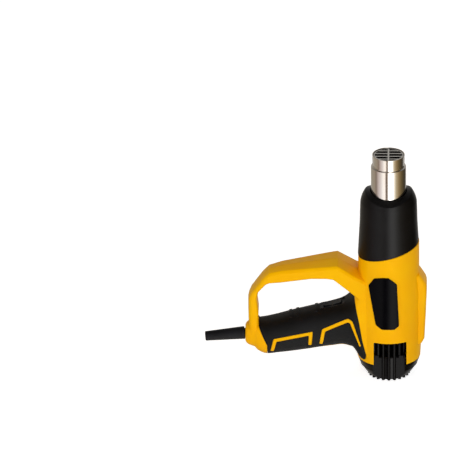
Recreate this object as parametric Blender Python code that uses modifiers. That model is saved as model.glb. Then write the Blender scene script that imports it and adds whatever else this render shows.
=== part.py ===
"""Hot air tool: pistol grip, loop guard, steel nozzle, upright on its rear face.

Frame: origin at the centre of the rear foot, +Z along the barrel to the nozzle,
-X towards the handle, and the side plate on the -Y side.
Sizes below are in millimetres; the helpers turn them into metres.
"""

import math

import bmesh
import bpy
from mathutils import Matrix, Vector

MM = 0.001
GAP = 0.3
SPLIT = 0.15
WALL = 2.5

# Barrel shells
REAR_EDGE_Z = 20.5
BARREL_REAR_R = 31.4
BARREL_MID_R = 32.5
BARREL_FRONT_R = 30.4
BARREL_FLARE_Z = 40.0
BARREL_SHOULDER_Z = 98.0
BARREL_NECK_Z = 116.0
SHELL_LIP = 1.6
SHELL_REAR_WALL = 2.6
CAVITY_R = BARREL_FRONT_R - SHELL_LIP
REAR_CAVITY_R = BARREL_REAR_R - SHELL_REAR_WALL
CAVITY_STEP_Z = 60.0
BARREL_STEPS = 44

# Raised spine on the back of the barrel
SPINE_TOP_Z = 111.0
SPINE_PEAK_Z = 98.0
SPINE_PEAK_X = 38.0
SPINE_LOW_X = 35.5
SPINE_END_Z = 42.0
SPINE_RUNOUT = 7.0
SPINE_HALF_WIDTH = 14.0
SPINE_CHAMFER = 4.0

# Slanted joint between the barrel and the nozzle cover
COVER_EDGE_Z = 139.5
COVER_EDGE_SLOPE = 0.34
COVER_TONGUE = 7.0
COVER_WALL = 2.6
COVER_FOOT_Z = 100.0
COVER_LIP_T = 10.0
COVER_REAR_R = BARREL_FRONT_R + 0.5
COVER_REAR_Z = 128.0
COVER_MID_R = 28.7
COVER_MID_Z = 168.0
COVER_SHOULDER_R = 28.2
COVER_SHOULDER_Z = 186.5
COVER_TOP_Z = 204.0
COVER_HOLE_R = 18.4
COVER_MOUTH = ((27.6, 191.0), (26.4, 195.0), (24.2, 199.3), (21.5, 202.4), (19.6, 204.0))
COVER_SADDLE_DROP = 5.4
COVER_SADDLE_REACH = 28.5
COVER_SADDLE_STEPS = 16

# Steel nozzle
TUBE_R = 17.5
TUBE_WALL = 1.0
TUBE_TIP_R = 16.15
TUBE_RIM_Z = 239.5
TUBE_TIP_LENGTH = 12.5
TUBE_SHOULDER_Z = TUBE_RIM_Z - TUBE_TIP_LENGTH
TUBE_FLANGE_Z = 132.0
TUBE_FLANGE_R = 24.0
TUBE_FLANGE_T = 1.5
GRILLE_T = 1.2
GRILLE_BAR = 1.3
GRILLE_PITCH = 6.4
GRILLE_BARS = 4
GRILLE_DROP = 0.6

# Rear intake cap
FOOT_R = 20.0
CAP_TOP_R = BARREL_REAR_R - 0.1
CAP_FLANK = tuple((FOOT_R + share * (CAP_TOP_R - FOOT_R), z) for share, z in
                  ((0.0, 0.0), (0.319, 5.0), (0.602, 10.0), (0.841, 15.0), (1.0, 20.2)))
CAP_WALL = 2.4
CAP_DRUM_R = 20.0
CAP_DRUM_WALL = 2.4
CAP_RIB_COUNT = 22
CAP_RIB_R = 1.3
CAP_DRUM_Z = 45.0
CAP_SLOT_LOW_Z = 24.0
CAP_SLOT_HIGH_Z = 42.0
CAP_SLOT_W = 2.6
NOTCH_HALF_W = 16.3
NOTCH_TOP_Z = 46.0
FLOOR_T = 2.5
FLOOR_SLOT_R = (7.5, 16.0)
FLOOR_SLOT_COUNT = 12
FLOOR_SLOT_W = 2.4

# Handle: distance from the axis, centre height, half height, half width and squareness of each section
HANDLE_STATIONS = (
    (-143.0, 43.2, 8.0, 8.0, 2.5), (-141.6, 43.4, 10.2, 10.2, 2.5), (-138.5, 43.5, 12.0, 12.2, 2.5),
    (-134.0, 43.3, 13.4, 13.6, 2.5), (-130.0, 42.0, 15.8, 16.0, 2.5), (-122.0, 41.0, 17.8, 18.2, 2.5),
    (-110.0, 43.0, 18.6, 19.0, 2.5), (-98.0, 45.5, 19.7, 19.2, 2.5), (-84.0, 48.4, 20.5, 19.4, 2.5),
    (-69.0, 51.6, 21.1, 19.6, 2.5), (-56.0, 54.3, 21.8, 20.2, 2.5), (-47.0, 56.4, 22.6, 21.0, 2.5),
    (-40.0, 58.0, 25.2, 22.0, 2.7), (-35.0, 60.0, 29.6, 23.0, 3.0), (-30.0, 61.4, 35.2, 23.5, 3.8),
    (-20.0, 60.6, 38.9, 23.5, 5.0),
)
HANDLE_POINTS = 20
GRIP_T = 1.8
HANDLE_WALL = 2.2

# Side outline of the overmoulded grip, as distance and height
GRIP_HEEL_EDGE = ((-129.3, 68.0), (-129.8, 55.3), (-121.3, 37.0), (-121.2, 15.0))
GRIP_LOW_EDGE = ((-80.0, 12.0), (-79.5, 30.6), (-62.0, 33.4), (-46.0, 36.4), (-38.0, 33.6), (-32.5, 27.6),
                 (-27.6, 22.4))
GRIP_BARREL_EDGE = tuple((-BARREL_MID_R + beyond, z) for beyond, z in
                         ((10.4, 21.8), (6.3, 44.8), (3.4, 63.1), (0.3, 79.5), (-2.8, 96.0), (-6.5, 99.0)))

# Accent ribs that stand through the grip, as centre lines with the width at each point
ACCENT_KEEP_Y = 9.0
ACCENTS = (
    ((-114.9, 30.0, 3.2), (-111.8, 43.4, 3.2), (-77.6, 51.1, 3.2), (-78.6, 37.6, 3.2)),
    ((-67.6, 38.8, 3.2), (-64.9, 54.8, 3.2), (-40.4, 66.6, 3.2), (-37.3, 65.0, 3.0), (-28.4, 38.9, 1.4)),
)

# Loop guard: outer point, inner point and half depth of each section
GUARD_STATIONS = (
    ((-20.0, 107.0), (-23.0, 84.0), 23.0),
    ((-34.0, 114.5), (-38.6, 97.5), 22.5),
    ((-51.0, 125.0), (-55.0, 110.5), 21.0),
    ((-61.0, 123.6), (-62.0, 111.0), 20.0),
    ((-77.0, 121.4), (-77.5, 110.0), 17.8),
    ((-106.0, 117.0), (-107.5, 104.3), 14.4),
    ((-119.0, 113.4), (-119.0, 102.6), 12.8),
    ((-125.0, 107.5), (-122.5, 100.8), 12.5),
    ((-136.5, 91.5), (-129.8, 92.6), 12.3),
    ((-139.3, 85.0), (-131.4, 85.0), 12.3),
    ((-139.4, 70.0), (-129.6, 70.0), 12.5),
    ((-139.2, 60.0), (-130.0, 60.0), 12.8),
    ((-138.8, 46.0), (-131.6, 46.0), 12.8),
)
GUARD_CHAMFER = 2.6
GUARD_INNER_CHAMFER = 1.4
GUARD_CROWN = 0.7
GUARD_WALL = 2.4

# Screws that close the two halves: distance, height, and seat of the head on the right half
HOUSING_SCREWS = ((-33.5, 102.5, 19.5), (34.0, 90.0, 10.5), (33.2, 52.0, 10.5),
                  (-112.0, 109.6, 11.0), (-95.0, 33.5, 11.5), (-131.5, 55.0, 9.5))
SCREW_SHANK_R = 1.4
SCREW_HEAD_R = 2.8
SCREW_HEAD_H = 1.8
SCREW_DEPTH = 8.0
DRIVE_R = 1.6
DRIVE_W = 0.7
DRIVE_DEPTH = 0.6
BOSS_R = 3.6
BOSS_REACH = 9.0

# Rocker switch in the finger side of the handle
SWITCH_X = -56.0
SWITCH_BODY = (22.0, 11.0, 17.0)
SWITCH_FRAME = (25.0, 14.0, 1.2)
SWITCH_RISE = 0.4
SWITCH_TOP_Z = 75.2
SWITCH_TILT = math.radians(12.0)

# Tapered cable boot
BOOT_START = (-143.3, 43.2)
BOOT_END = (-183.0, 38.6)
BOOT_ROOT_R = 6.4
BOOT_TIP_R = 4.8
BOOT_BORE_R = 2.9
BOOT_NECK_R = 4.6
BOOT_COLLAR_R = 6.6
BOOT_COLLAR_T = 3.5
BOOT_INSIDE = 9.0

# Bare plate on the left side
PLATE_OUTLINE = ((-20.1, 107.4), (-14.4, 116.2), (-1.3, 119.0), (8.3, 111.0),
                 (10.4, 66.0), (5.9, 62.4), (-6.9, 62.3), (-12.9, 66.6))
PLATE_T = 1.4

# Rocker and the pin it rocks on
ROCKER_SIZE = (18.4, 8.0)
ROCKER_RISE = 2.0
ROCKER_DEPTH = 2.5
ROCKER_PIVOT = -0.6
ROCKER_PIN_R = 0.9
ROCKER_WELL = 4.6

# Motor and fan, on the barrel's axis
MOTOR_R = 18.0
MOTOR_Z = (54.0, 100.0)
MOTOR_WALL = 1.4
BELL_Z = 48.5
SHAFT_R = 1.5
SHAFT_Z = (47.0, 119.0)
BUSH_R = 4.0
BUSH_T = 4.0
MAGNET_T = 2.2
MAGNET_GAP_W = 9.0
ARMATURE_R = 13.6
ARMATURE_Z = (64.0, 88.0)
COMMUTATOR_R = 5.0
COMMUTATOR_Z = (55.5, 62.5)
MOUNT_Z = (88.0, 96.0)
MOUNT_RIM_T = 1.8
MOUNT_HUB_T = 2.0
MOUNT_VANES = 6
FAN_Z = (105.0, 117.0)
FAN_HUB_R = 8.0
DUCT_WALL = 1.6
FAN_TIP_GAP = 0.9
FAN_R = CAVITY_R - GAP - DUCT_WALL - FAN_TIP_GAP
FAN_BLADES = 9
FAN_BLADE_T = 1.2
FAN_TWIST = math.radians(38)

# Heating element in the steel tube
MICA_OUT_R = TUBE_R - TUBE_WALL - GAP
MICA_T = 0.7
MICA_Z = (TUBE_FLANGE_Z + 2.0, TUBE_SHOULDER_Z - 5.0)
HEATER_Z = (TUBE_FLANGE_Z + 9.0, TUBE_SHOULDER_Z - 13.0)
HEATER_R = 10.6
HEATER_HOLE_R = 1.9
HEATER_HOLES = 6
COIL_R = 12.4
COIL_WIRE_R = 0.8
COIL_TURNS = 9
COIL_STEPS = 10
BASE_T = 2.0
BASE_HOLES = 8
BASE_HOLE_PLACE_R = 11.2
BASE_HOLE_R = 2.6
HEATER_HOLE_PLACE_R = 6.2
FUSE_LENGTH = 9.0
FUSE_R = 2.0

# Circuit board under the switch: each part as its way along the board, its way across and its size
BOARD_X = (-74.0, -42.0)
BOARD_HALF_W = 14.0
BOARD_Z = 44.5
BOARD_T = 1.6
RECTIFIER_X = (3.0, 11.0)
RECTIFIER_Y = (-10.0, -2.0)
RECTIFIER_H = 5.0
CAPACITOR_X = 9.0
CAPACITOR_Y = 7.0
CAPACITOR_R = 4.0
CAPACITOR_H = 7.0
TERMINAL_X = (9.0, 2.0)
TERMINAL_HALF_W = 8.0
TERMINAL_H = 6.0

# Clamp that holds the supply lead on two posts, and the leads that run on to the board
CLAMP_X = -122.5
CLAMP_Z = 41.5
CLAMP_POST_DZ = 6.5
CLAMP_POST_R = 2.6
CLAMP_T = 3.0
CLAMP_HALF_L = 2.5
CLAMP_SCREW_R = 1.0
CLAMP_SCREW_DEPTH = 6.0
CLAMP_HEAD_R = 2.1
CLAMP_HEAD_H = 1.4
LEAD_R = 0.9
LEAD_ROUTE = ((-108.0, 3.5, 46.0), (-92.0, 7.0, 52.0), (-76.0, 9.0, 57.5), (-60.0, 9.0, 56.5),
              (-51.0, 7.0, 56.0))

# Share of a solid that any cut leaves, as the test of a Boolean's result
LEAST_LEFT = 0.02

COLLECTION = bpy.data.collections.new("hot_air_tool")
CUTTERS = bpy.data.collections.new("cutters")


def start_scene():
    for old in list(bpy.data.objects):
        bpy.data.objects.remove(old, do_unlink=True)
    bpy.context.scene.collection.children.link(COLLECTION)
    bpy.context.scene.collection.children.link(CUTTERS)


def material(name, colour, roughness, metallic=0.0):
    mat = bpy.data.materials.new(name)
    mat.use_nodes = True
    shader = mat.node_tree.nodes["Principled BSDF"]
    shader.inputs["Base Color"].default_value = (*colour, 1.0)
    shader.inputs["Roughness"].default_value = roughness
    shader.inputs["Metallic"].default_value = metallic
    return mat


def new_object(name, bm, mat=None, smooth=True):
    """Writes a bmesh drawn in millimetres as an object in metres."""
    bmesh.ops.recalc_face_normals(bm, faces=bm.faces)
    bmesh.ops.scale(bm, vec=(MM, MM, MM), verts=bm.verts)
    mesh = bpy.data.meshes.new(name)
    bm.to_mesh(mesh)
    bm.free()
    if smooth:
        mesh.shade_smooth()
        mesh.set_sharp_from_angle(angle=math.radians(35))
    if mat:
        mesh.materials.append(mat)
    obj = bpy.data.objects.new(name, mesh)
    COLLECTION.objects.link(obj)
    return obj


def bake(obj):
    """Replaces an object's mesh with the result of its modifiers."""
    graph = bpy.context.evaluated_depsgraph_get()
    mesh = bpy.data.meshes.new_from_object(obj.evaluated_get(graph))
    obj.modifiers.clear()
    obj.data = mesh
    return obj


def closed_volume(mesh):
    """The volume inside a mesh, or nothing where it isn't closed."""
    bm = bmesh.new()
    bm.from_mesh(mesh)
    is_open = any(len(e.link_faces) != 2 for e in bm.edges)
    volume = 0.0 if is_open else bm.calc_volume()
    bm.free()
    return volume


def cut(target, tool, operation="DIFFERENCE"):
    """Joins, cuts or intersects two solids; the second solver serves where the first one fails."""
    before = target.data
    own, other = closed_volume(before), closed_volume(tool.data)
    least = {"UNION": max(own, other), "DIFFERENCE": max(own - other, LEAST_LEFT * own),
             "INTERSECT": 0.0}[operation]
    most = {"UNION": own + other, "DIFFERENCE": own, "INTERSECT": min(own, other)}[operation]
    for solver in ("MANIFOLD", "EXACT"):
        target.data = before
        change = target.modifiers.new(operation.lower(), "BOOLEAN")
        change.operation = operation
        change.solver = solver
        change.object = tool
        bake(target)
        volume = closed_volume(target.data)
        if volume > 0 and least * 0.999 < volume < most * 1.001:
            break
    bpy.data.objects.remove(tool, do_unlink=True)
    return target


def join(target, *tools):
    for tool in tools:
        cut(target, tool, "UNION")
    return target


def copy(obj, name):
    twin = obj.copy()
    twin.data = obj.data.copy()
    twin.name = name
    COLLECTION.objects.link(twin)
    return twin


def paint(obj, mat):
    obj.data.materials.clear()
    obj.data.materials.append(mat)
    return obj


def turned(name, profile, mat=None, steps=48):
    """A closed profile of radius and height, turned about the Z axis."""
    bm = bmesh.new()
    on_axis = [abs(r) < 1e-6 for r, _ in profile]
    points = [bm.verts.new((r, 0, z)) for r, z in profile]
    for i, point in enumerate(points):
        j = (i + 1) % len(points)
        if not (on_axis[i] and on_axis[j]):
            bm.edges.new((point, points[j]))
    bmesh.ops.spin(bm, geom=bm.verts[:] + bm.edges[:], cent=(0, 0, 0), axis=(0, 0, 1),
                   angle=2 * math.pi, steps=steps, use_merge=True)
    bmesh.ops.remove_doubles(bm, verts=bm.verts, dist=0.001)
    poles = [v for v in bm.verts if abs(v.co.x) + abs(v.co.y) < 0.001]
    bmesh.ops.dissolve_verts(bm, verts=poles)
    return new_object(name, bm, mat)


def box(name, low, high, mat=None):
    bm = bmesh.new()
    bmesh.ops.create_cube(bm, size=1.0)
    size = Vector(high) - Vector(low)
    bmesh.ops.scale(bm, vec=size, verts=bm.verts)
    bmesh.ops.translate(bm, vec=(Vector(low) + Vector(high)) / 2, verts=bm.verts)
    return new_object(name, bm, mat, smooth=False)


def rod(name, start, end, radius, mat=None, sides=20):
    """A cylinder between two points."""
    start = Vector(start)
    end = Vector(end)
    bm = bmesh.new()
    bmesh.ops.create_cone(bm, cap_ends=True, segments=sides, radius1=radius, radius2=radius,
                          depth=(end - start).length)
    turn = Vector((0, 0, 1)).rotation_difference(end - start).to_matrix()
    bmesh.ops.rotate(bm, cent=(0, 0, 0), matrix=turn, verts=bm.verts)
    bmesh.ops.translate(bm, vec=(start + end) / 2, verts=bm.verts)
    return new_object(name, bm, mat)


def side_plate(name, outline, low_y, high_y, mat=None):
    """A flat outline of x and z, as thick as from one y to another."""
    bm = bmesh.new()
    face = bm.faces.new([bm.verts.new((x, low_y, z)) for x, z in outline])
    pushed = bmesh.ops.extrude_face_region(bm, geom=[face])
    moved = [v for v in pushed["geom"] if isinstance(v, bmesh.types.BMVert)]
    bmesh.ops.translate(bm, vec=(0, high_y - low_y, 0), verts=moved)
    return new_object(name, bm, mat, smooth=False)


def loft(name, rings, mat=None):
    """A closed skin through rings that have the same number of points."""
    bm = bmesh.new()
    rows = [[bm.verts.new(point) for point in ring] for ring in rings]
    count = len(rows[0])
    for near, far in zip(rows, rows[1:]):
        for i in range(count):
            j = (i + 1) % count
            bm.faces.new((near[i], near[j], far[j], far[i]))
    bm.faces.new(rows[0][::-1])
    bm.faces.new(rows[-1])
    return new_object(name, bm, mat)


def halve(whole, name, side):
    """Keeps one side of the mould line; side is -1 for the left and +1 for the right."""
    big = 260.0
    ends = (side * SPLIT, -side * big)
    part = copy(whole, name)
    tool = box(name + "_half", (-big, min(ends), -big), (big, max(ends), big))
    return cut(part, tool)


def handle_ring(station, inset):
    x, centre, height, width, squareness = station
    power = 2.0 / squareness
    ring = []
    for i in range(HANDLE_POINTS):
        angle = 2 * math.pi * i / HANDLE_POINTS
        c, s = math.cos(angle), math.sin(angle)
        y = (width - inset) * math.copysign(abs(c) ** power, c)
        z = (height - inset) * math.copysign(abs(s) ** power, s)
        ring.append((x, y, centre + z))
    return ring


def handle_solid(name, inset=0.0, first=0, shorten=0.0):
    """The handle between the heel and the barrel, drawn in by an inset."""
    rings = [handle_ring(s, inset) for s in HANDLE_STATIONS[first:]]
    rings[0] = [(x + shorten, y, z) for x, y, z in rings[0]]
    return loft(name, rings)


def guard_ring(outer, inner, depth, inset):
    outer = Vector(outer)
    inner = Vector(inner)
    across = (inner - outer).normalized()
    top = outer + across * inset
    thick = (inner - outer).length - 2 * inset
    depth -= inset
    big, small = GUARD_CHAMFER, GUARD_INNER_CHAMFER
    if inset:
        big = small = 0.4
    shape = ((0, -(depth - big)), (-GUARD_CROWN, 0), (0, depth - big), (big, depth),
             (thick - small, depth), (thick, depth - small), (thick, -(depth - small)),
             (thick - small, -depth), (big, -depth))
    return [((top + across * u).x, y, (top + across * u).y) for u, y in shape]


def guard_solid(name, inset=0.0, first=0, last=None):
    stations = GUARD_STATIONS[first:last]
    return loft(name, [guard_ring(*s, inset) for s in stations])


def barrel_radius(z):
    """Outer radius of the turned barrel at a height."""
    knots = ((0.0, BARREL_REAR_R), (REAR_EDGE_Z, BARREL_REAR_R), (BARREL_FLARE_Z, BARREL_MID_R),
             (BARREL_SHOULDER_Z, BARREL_MID_R), (BARREL_NECK_Z, BARREL_FRONT_R), (400.0, BARREL_FRONT_R))
    for (z0, r0), (z1, r1) in zip(knots, knots[1:]):
        if z <= z1:
            return r0 + (r1 - r0) * (z - z0) / (z1 - z0)
    return BARREL_FRONT_R


def edge_height(x):
    """Height of the slanted joint of barrel and nozzle cover at a distance from the axis."""
    return COVER_EDGE_Z + COVER_EDGE_SLOPE * x


def end_plate(name, outline, low_x, high_x):
    """A flat outline of y and z, as long as from one x to another."""
    bm = bmesh.new()
    face = bm.faces.new([bm.verts.new((low_x, y, z)) for y, z in outline])
    pushed = bmesh.ops.extrude_face_region(bm, geom=[face])
    moved = [v for v in pushed["geom"] if isinstance(v, bmesh.types.BMVert)]
    bmesh.ops.translate(bm, vec=(high_x - low_x, 0, 0), verts=moved)
    return new_object(name, bm, smooth=False)


def side_normals(points, closed):
    """The mitred left-hand normal at each point of a line."""
    count = len(points)
    result = []
    for i in range(count):
        here = Vector(points[i])
        before = Vector(points[i - 1]) if closed or i else None
        after = Vector(points[(i + 1) % count]) if closed or i < count - 1 else None
        ways = [(here - before).normalized()] if before is not None else []
        if after is not None:
            ways.append((after - here).normalized())
        normals = [Vector((-w.y, w.x)) for w in ways]
        mean = sum(normals, Vector((0, 0))).normalized()
        result.append(mean / max(mean.dot(normals[0]), 0.3))
    return result


def grown(outline, amount):
    """A closed outline moved outwards by an amount, or inwards if it is negative."""
    area = sum(a[0] * b[1] - b[0] * a[1] for a, b in zip(outline, outline[1:] + outline[:1]))
    side = -amount if area > 0 else amount
    return [(x + n.x * side, z + n.y * side)
            for (x, z), n in zip(outline, side_normals(outline, True))]


def ribbon(line, growth):
    """The closed outline of a band that follows a line with a width at each point."""
    normals = side_normals([(x, z) for x, z, width in line], False)
    halves = [width / 2 + growth for x, z, width in line]
    left = [(x + n.x * h, z + n.y * h) for (x, z, width), n, h in zip(line, normals, halves)]
    right = [(x - n.x * h, z - n.y * h) for (x, z, width), n, h in zip(line, normals, halves)]
    return left + right[::-1]


def barrel_solid():
    profile = [(0, REAR_EDGE_Z), (BARREL_REAR_R, REAR_EDGE_Z), (BARREL_MID_R, BARREL_FLARE_Z),
               (BARREL_MID_R, BARREL_SHOULDER_Z), (BARREL_FRONT_R, BARREL_NECK_Z),
               (BARREL_FRONT_R, COVER_MID_Z), (0, COVER_MID_Z)]
    return turned("barrel", profile, steps=BARREL_STEPS)


def spine_solid():
    """The raised spine, which swells out of the back of the barrel."""
    root = BARREL_REAR_R - 8.0
    outline = [(root, SPINE_TOP_Z + 1), (BARREL_FRONT_R + 0.2, SPINE_TOP_Z + 1.5),
               (SPINE_PEAK_X - 0.8, SPINE_PEAK_Z + 4), (SPINE_PEAK_X, SPINE_PEAK_Z - 2),
               (SPINE_LOW_X, SPINE_END_Z), (BARREL_REAR_R - 0.5, SPINE_END_Z - SPINE_RUNOUT),
               (root, SPINE_END_Z - SPINE_RUNOUT)]
    spine = side_plate("spine", outline, -SPINE_HALF_WIDTH, SPINE_HALF_WIDTH)
    soften = spine.modifiers.new("chamfer", "BEVEL")
    soften.width = SPINE_CHAMFER * MM
    soften.segments = 2
    soften.limit_method = "ANGLE"
    soften.angle_limit = math.radians(60)
    return bake(spine)


def grip_zone(name, growth):
    """The part of the handle that the soft grip covers, seen from the side."""
    outline = [*GRIP_HEEL_EDGE, *GRIP_LOW_EDGE, *GRIP_BARREL_EDGE]
    return side_plate(name, grown(outline, growth), -45, 45)


def boot_point(distance):
    """A point on the boot's axis, outwards from the heel."""
    start = Vector((BOOT_START[0], 0, BOOT_START[1]))
    end = Vector((BOOT_END[0], 0, BOOT_END[1]))
    return start + (end - start).normalized() * distance


def switch_cut(name, growth):
    """The window for the rocker switch, square to the finger side of the grip."""
    length, width, depth = SWITCH_BODY
    bm = bmesh.new()
    bmesh.ops.create_cube(bm, size=1.0)
    bmesh.ops.scale(bm, vec=(length + 2 * growth, width + 2 * growth, depth), verts=bm.verts)
    place_on_grip(bm)
    return new_object(name, bm, smooth=False)


def place_on_grip(bm):
    """Moves a shape drawn round the origin to the seat of the switch."""
    turn = Matrix.Rotation(-SWITCH_TILT, 3, "Y")
    bmesh.ops.rotate(bm, cent=(0, 0, 0), matrix=turn, verts=bm.verts)
    bmesh.ops.translate(bm, vec=(SWITCH_X, 0, SWITCH_TOP_Z), verts=bm.verts)


def accent_ribs(name, growth, inset):
    """The yellow ribs, cut from the full handle by the side view of each rib."""
    made = None
    for i, line in enumerate(ACCENTS):
        band = side_plate(f"{name}_band_{i}", ribbon(line, growth), -45, 45)
        if made is None:
            made = band
        else:
            made = join(made, band)
    made.name = name
    if inset is not None:
        cut(made, handle_solid(name + "_skin", inset), "INTERSECT")
    return made


def housing_form():
    """The outside of the closed housing, with the handle drawn in under the soft grip."""
    body = barrel_solid()
    join(body, spine_solid())
    far = 3 * BARREL_MID_R
    top = 2 * TUBE_RIM_Z
    above = [(-far, edge_height(-far)), (far, edge_height(far)), (far, top), (-far, top)]
    cut(body, side_plate("above", above, -far, far))
    skin = handle_solid("skin")
    cut(skin, grip_zone("zone", 0.0))
    join(skin, handle_solid("core", GRIP_T + GAP, first=4))
    ribs = accent_ribs("ribs", 0.0, 0.2)
    cut(ribs, box("rib_gap", (-160, -ACCENT_KEEP_Y, 0), (0, ACCENT_KEEP_Y, 120)))
    join(skin, ribs)
    join(body, skin, guard_solid("guard"))
    reach = SPINE_PEAK_X
    return cut(body, box("foot_cut", (-reach, -reach, -10), (reach, reach, REAR_EDGE_Z)))


def housing_room():
    """The space inside the shells, less the bosses that the screws run through."""
    low, high = REAR_EDGE_Z - 5, COVER_MID_Z + 5
    room = turned("room", [(0, low), (REAR_CAVITY_R, low), (REAR_CAVITY_R, BARREL_FLARE_Z),
                           (CAVITY_R, CAVITY_STEP_Z), (CAVITY_R, high), (0, high)], steps=BARREL_STEPS)
    join(room, handle_solid("hollow", GRIP_T + GAP + HANDLE_WALL, first=3, shorten=1.5))
    join(room, guard_solid("guard_hollow", GUARD_WALL, first=1))
    for i, (x, z, seat) in enumerate(HOUSING_SCREWS):
        tool = rod(f"boss_{i}", (x, -BOSS_REACH, z), (x, seat + 6, z), BOSS_R)
        cut(room, tool)
    for way in (-1, 1):
        z = CLAMP_Z + way * CLAMP_POST_DZ
        cut(room, rod("clamp_post", (CLAMP_X, -30, z), (CLAMP_X, -GAP, z), CLAMP_POST_R))
        join(room, rod("clamp_pilot", (CLAMP_X, -CLAMP_SCREW_DEPTH - 1, z), (CLAMP_X, 0, z),
                       CLAMP_SCREW_R + GAP, sides=10))
    return room


def build_housing(yellow):
    """Both yellow shells, from one form that is split along the mould line."""
    form = housing_form()
    room = housing_room()
    for name, side in (("left_housing", -1), ("right_housing", 1)):
        shell = halve(form, name, side)
        cut(shell, copy(room, name + "_room"))
        cut(shell, box("notch", (-NOTCH_HALF_W, -60, 0), (NOTCH_HALF_W, 60, NOTCH_TOP_Z)))
        cut(shell, rod("boot_way", boot_point(6), boot_point(-BOOT_INSIDE), BOOT_NECK_R + GAP, sides=24))
        pocket = (boot_point(GAP - BOOT_INSIDE + BOOT_COLLAR_T), boot_point(-BOOT_INSIDE - 4))
        cut(shell, rod("boot_pocket", *pocket, BOOT_COLLAR_R + GAP, sides=24))
        cut(shell, switch_cut("switch_way", GAP))
        cut(shell, switch_plate("frame_seat", GAP, SWITCH_RISE + WALL))
        for i, (x, z, seat) in enumerate(HOUSING_SCREWS):
            foot = -SCREW_DEPTH if side < 0 else -1
            top = 1 if side < 0 else seat + 1
            cut(shell, rod(f"pilot_{i}", (x, foot, z), (x, top, z), SCREW_SHANK_R + GAP, sides=12))
            if side > 0:
                cut(shell, rod(f"recess_{i}", (x, seat, z), (x, 60, z), SCREW_HEAD_R + GAP, sides=20))
        paint(shell, yellow)
    for rest in (form, room):
        bpy.data.objects.remove(rest, do_unlink=True)


def nozzle_cover(black):
    """Heat guard: a turned shell with a saddle-shaped mouth and a slanted rear edge."""
    outer = [(0, COVER_FOOT_Z), (COVER_REAR_R, COVER_FOOT_Z), (COVER_REAR_R, COVER_REAR_Z),
             (COVER_MID_R, COVER_MID_Z), (COVER_SHOULDER_R, COVER_SHOULDER_Z), *COVER_MOUTH, (0, COVER_TOP_Z)]
    rear_in = COVER_REAR_R - COVER_WALL
    under_lip = COVER_TOP_Z - COVER_LIP_T
    room = [(0, COVER_FOOT_Z - 10), (rear_in, COVER_FOOT_Z - 10), (rear_in, COVER_REAR_Z),
            (COVER_MID_R - COVER_WALL, COVER_MID_Z), (COVER_SHOULDER_R - COVER_WALL, COVER_SHOULDER_Z),
            (COVER_HOLE_R + 4.0, under_lip - 1.5), (COVER_HOLE_R, under_lip),
            (COVER_HOLE_R, COVER_TOP_Z + 16), (0, COVER_TOP_Z + 16)]
    cover = turned("nozzle_cover", outer, steps=BARREL_STEPS)
    reach = 2 * COVER_REAR_R
    low = edge_height(-reach) + GAP
    high = edge_height(reach) + GAP
    foot = COVER_FOOT_Z / 2
    below = [(-reach, low), (-reach, foot), (reach, foot), (reach, high)]
    cut(cover, side_plate("below", below, -reach, reach))
    lip_r = CAVITY_R - GAP
    lip_top = COVER_MID_Z - 10
    lip = turned("lip", [(0, COVER_FOOT_Z + 5), (lip_r, COVER_FOOT_Z + 5), (lip_r, lip_top), (0, lip_top)],
                 steps=BARREL_STEPS)
    drop = COVER_TONGUE
    under = [(-reach, low - drop), (-reach, foot), (reach, foot), (reach, high - drop)]
    cut(lip, side_plate("under", under, -reach, reach))
    join(cover, lip)
    cut(cover, turned("cover_room", room, steps=BARREL_STEPS))
    crest = []
    for i in range(COVER_SADDLE_STEPS + 1):
        y = COVER_SADDLE_REACH * (2 * i / COVER_SADDLE_STEPS - 1)
        crest.append((y, COVER_TOP_Z - COVER_SADDLE_DROP * (y / COVER_HOLE_R) ** 2))
    top = COVER_TOP_Z + reach
    crest += [(COVER_SADDLE_REACH, top), (-COVER_SADDLE_REACH, top)]
    cut(cover, end_plate("saddle", crest, -reach, reach))
    return paint(cover, black)


def nozzle_tube(steel):
    """Drawn steel tube with a stepped front and a rolled flange at its foot."""
    inner = TUBE_R - TUBE_WALL
    tip_in = TUBE_TIP_R - TUBE_WALL
    profile = [(TUBE_TIP_R, TUBE_RIM_Z), (TUBE_TIP_R, TUBE_SHOULDER_Z + 0.6), (TUBE_R - 0.4, TUBE_SHOULDER_Z),
               (TUBE_R, TUBE_SHOULDER_Z - 0.6), (TUBE_R, TUBE_FLANGE_Z + TUBE_FLANGE_T),
               (TUBE_FLANGE_R, TUBE_FLANGE_Z + TUBE_FLANGE_T), (TUBE_FLANGE_R, TUBE_FLANGE_Z),
               (inner, TUBE_FLANGE_Z), (inner, TUBE_SHOULDER_Z - 1.2), (tip_in, TUBE_SHOULDER_Z - 0.6),
               (tip_in, TUBE_RIM_Z)]
    return turned("nozzle_tube", profile, steel, steps=36)


def nozzle_grille(steel):
    """Stamped guard in the mouth: a ring, straight bars across it and one bar over their middles."""
    ring_out = TUBE_TIP_R - TUBE_WALL - GAP
    ring_in = ring_out - 1.1
    top = TUBE_RIM_Z - GRILLE_DROP
    low = top - GRILLE_T
    grille = turned("nozzle_grille", [(ring_out, top), (ring_out, low - 2.5), (ring_in, low - 2.5),
                                      (ring_in, top)], steps=36)
    first = -(GRILLE_BARS - 1) / 2
    for i in range(GRILLE_BARS):
        y = (first + i) * GRILLE_PITCH
        reach = math.sqrt(ring_out ** 2 - y ** 2) - 0.7
        bar = box(f"bar_{i}", (-reach, y - GRILLE_BAR / 2, low), (reach, y + GRILLE_BAR / 2, top - 0.2))
        join(grille, bar)
    reach = ring_out - 0.5
    crossbar = box("crossbar", (-GRILLE_BAR / 2, -reach, low + 0.1), (GRILLE_BAR / 2, reach, top + 0.1))
    join(grille, crossbar)
    return paint(grille, steel)


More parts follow.
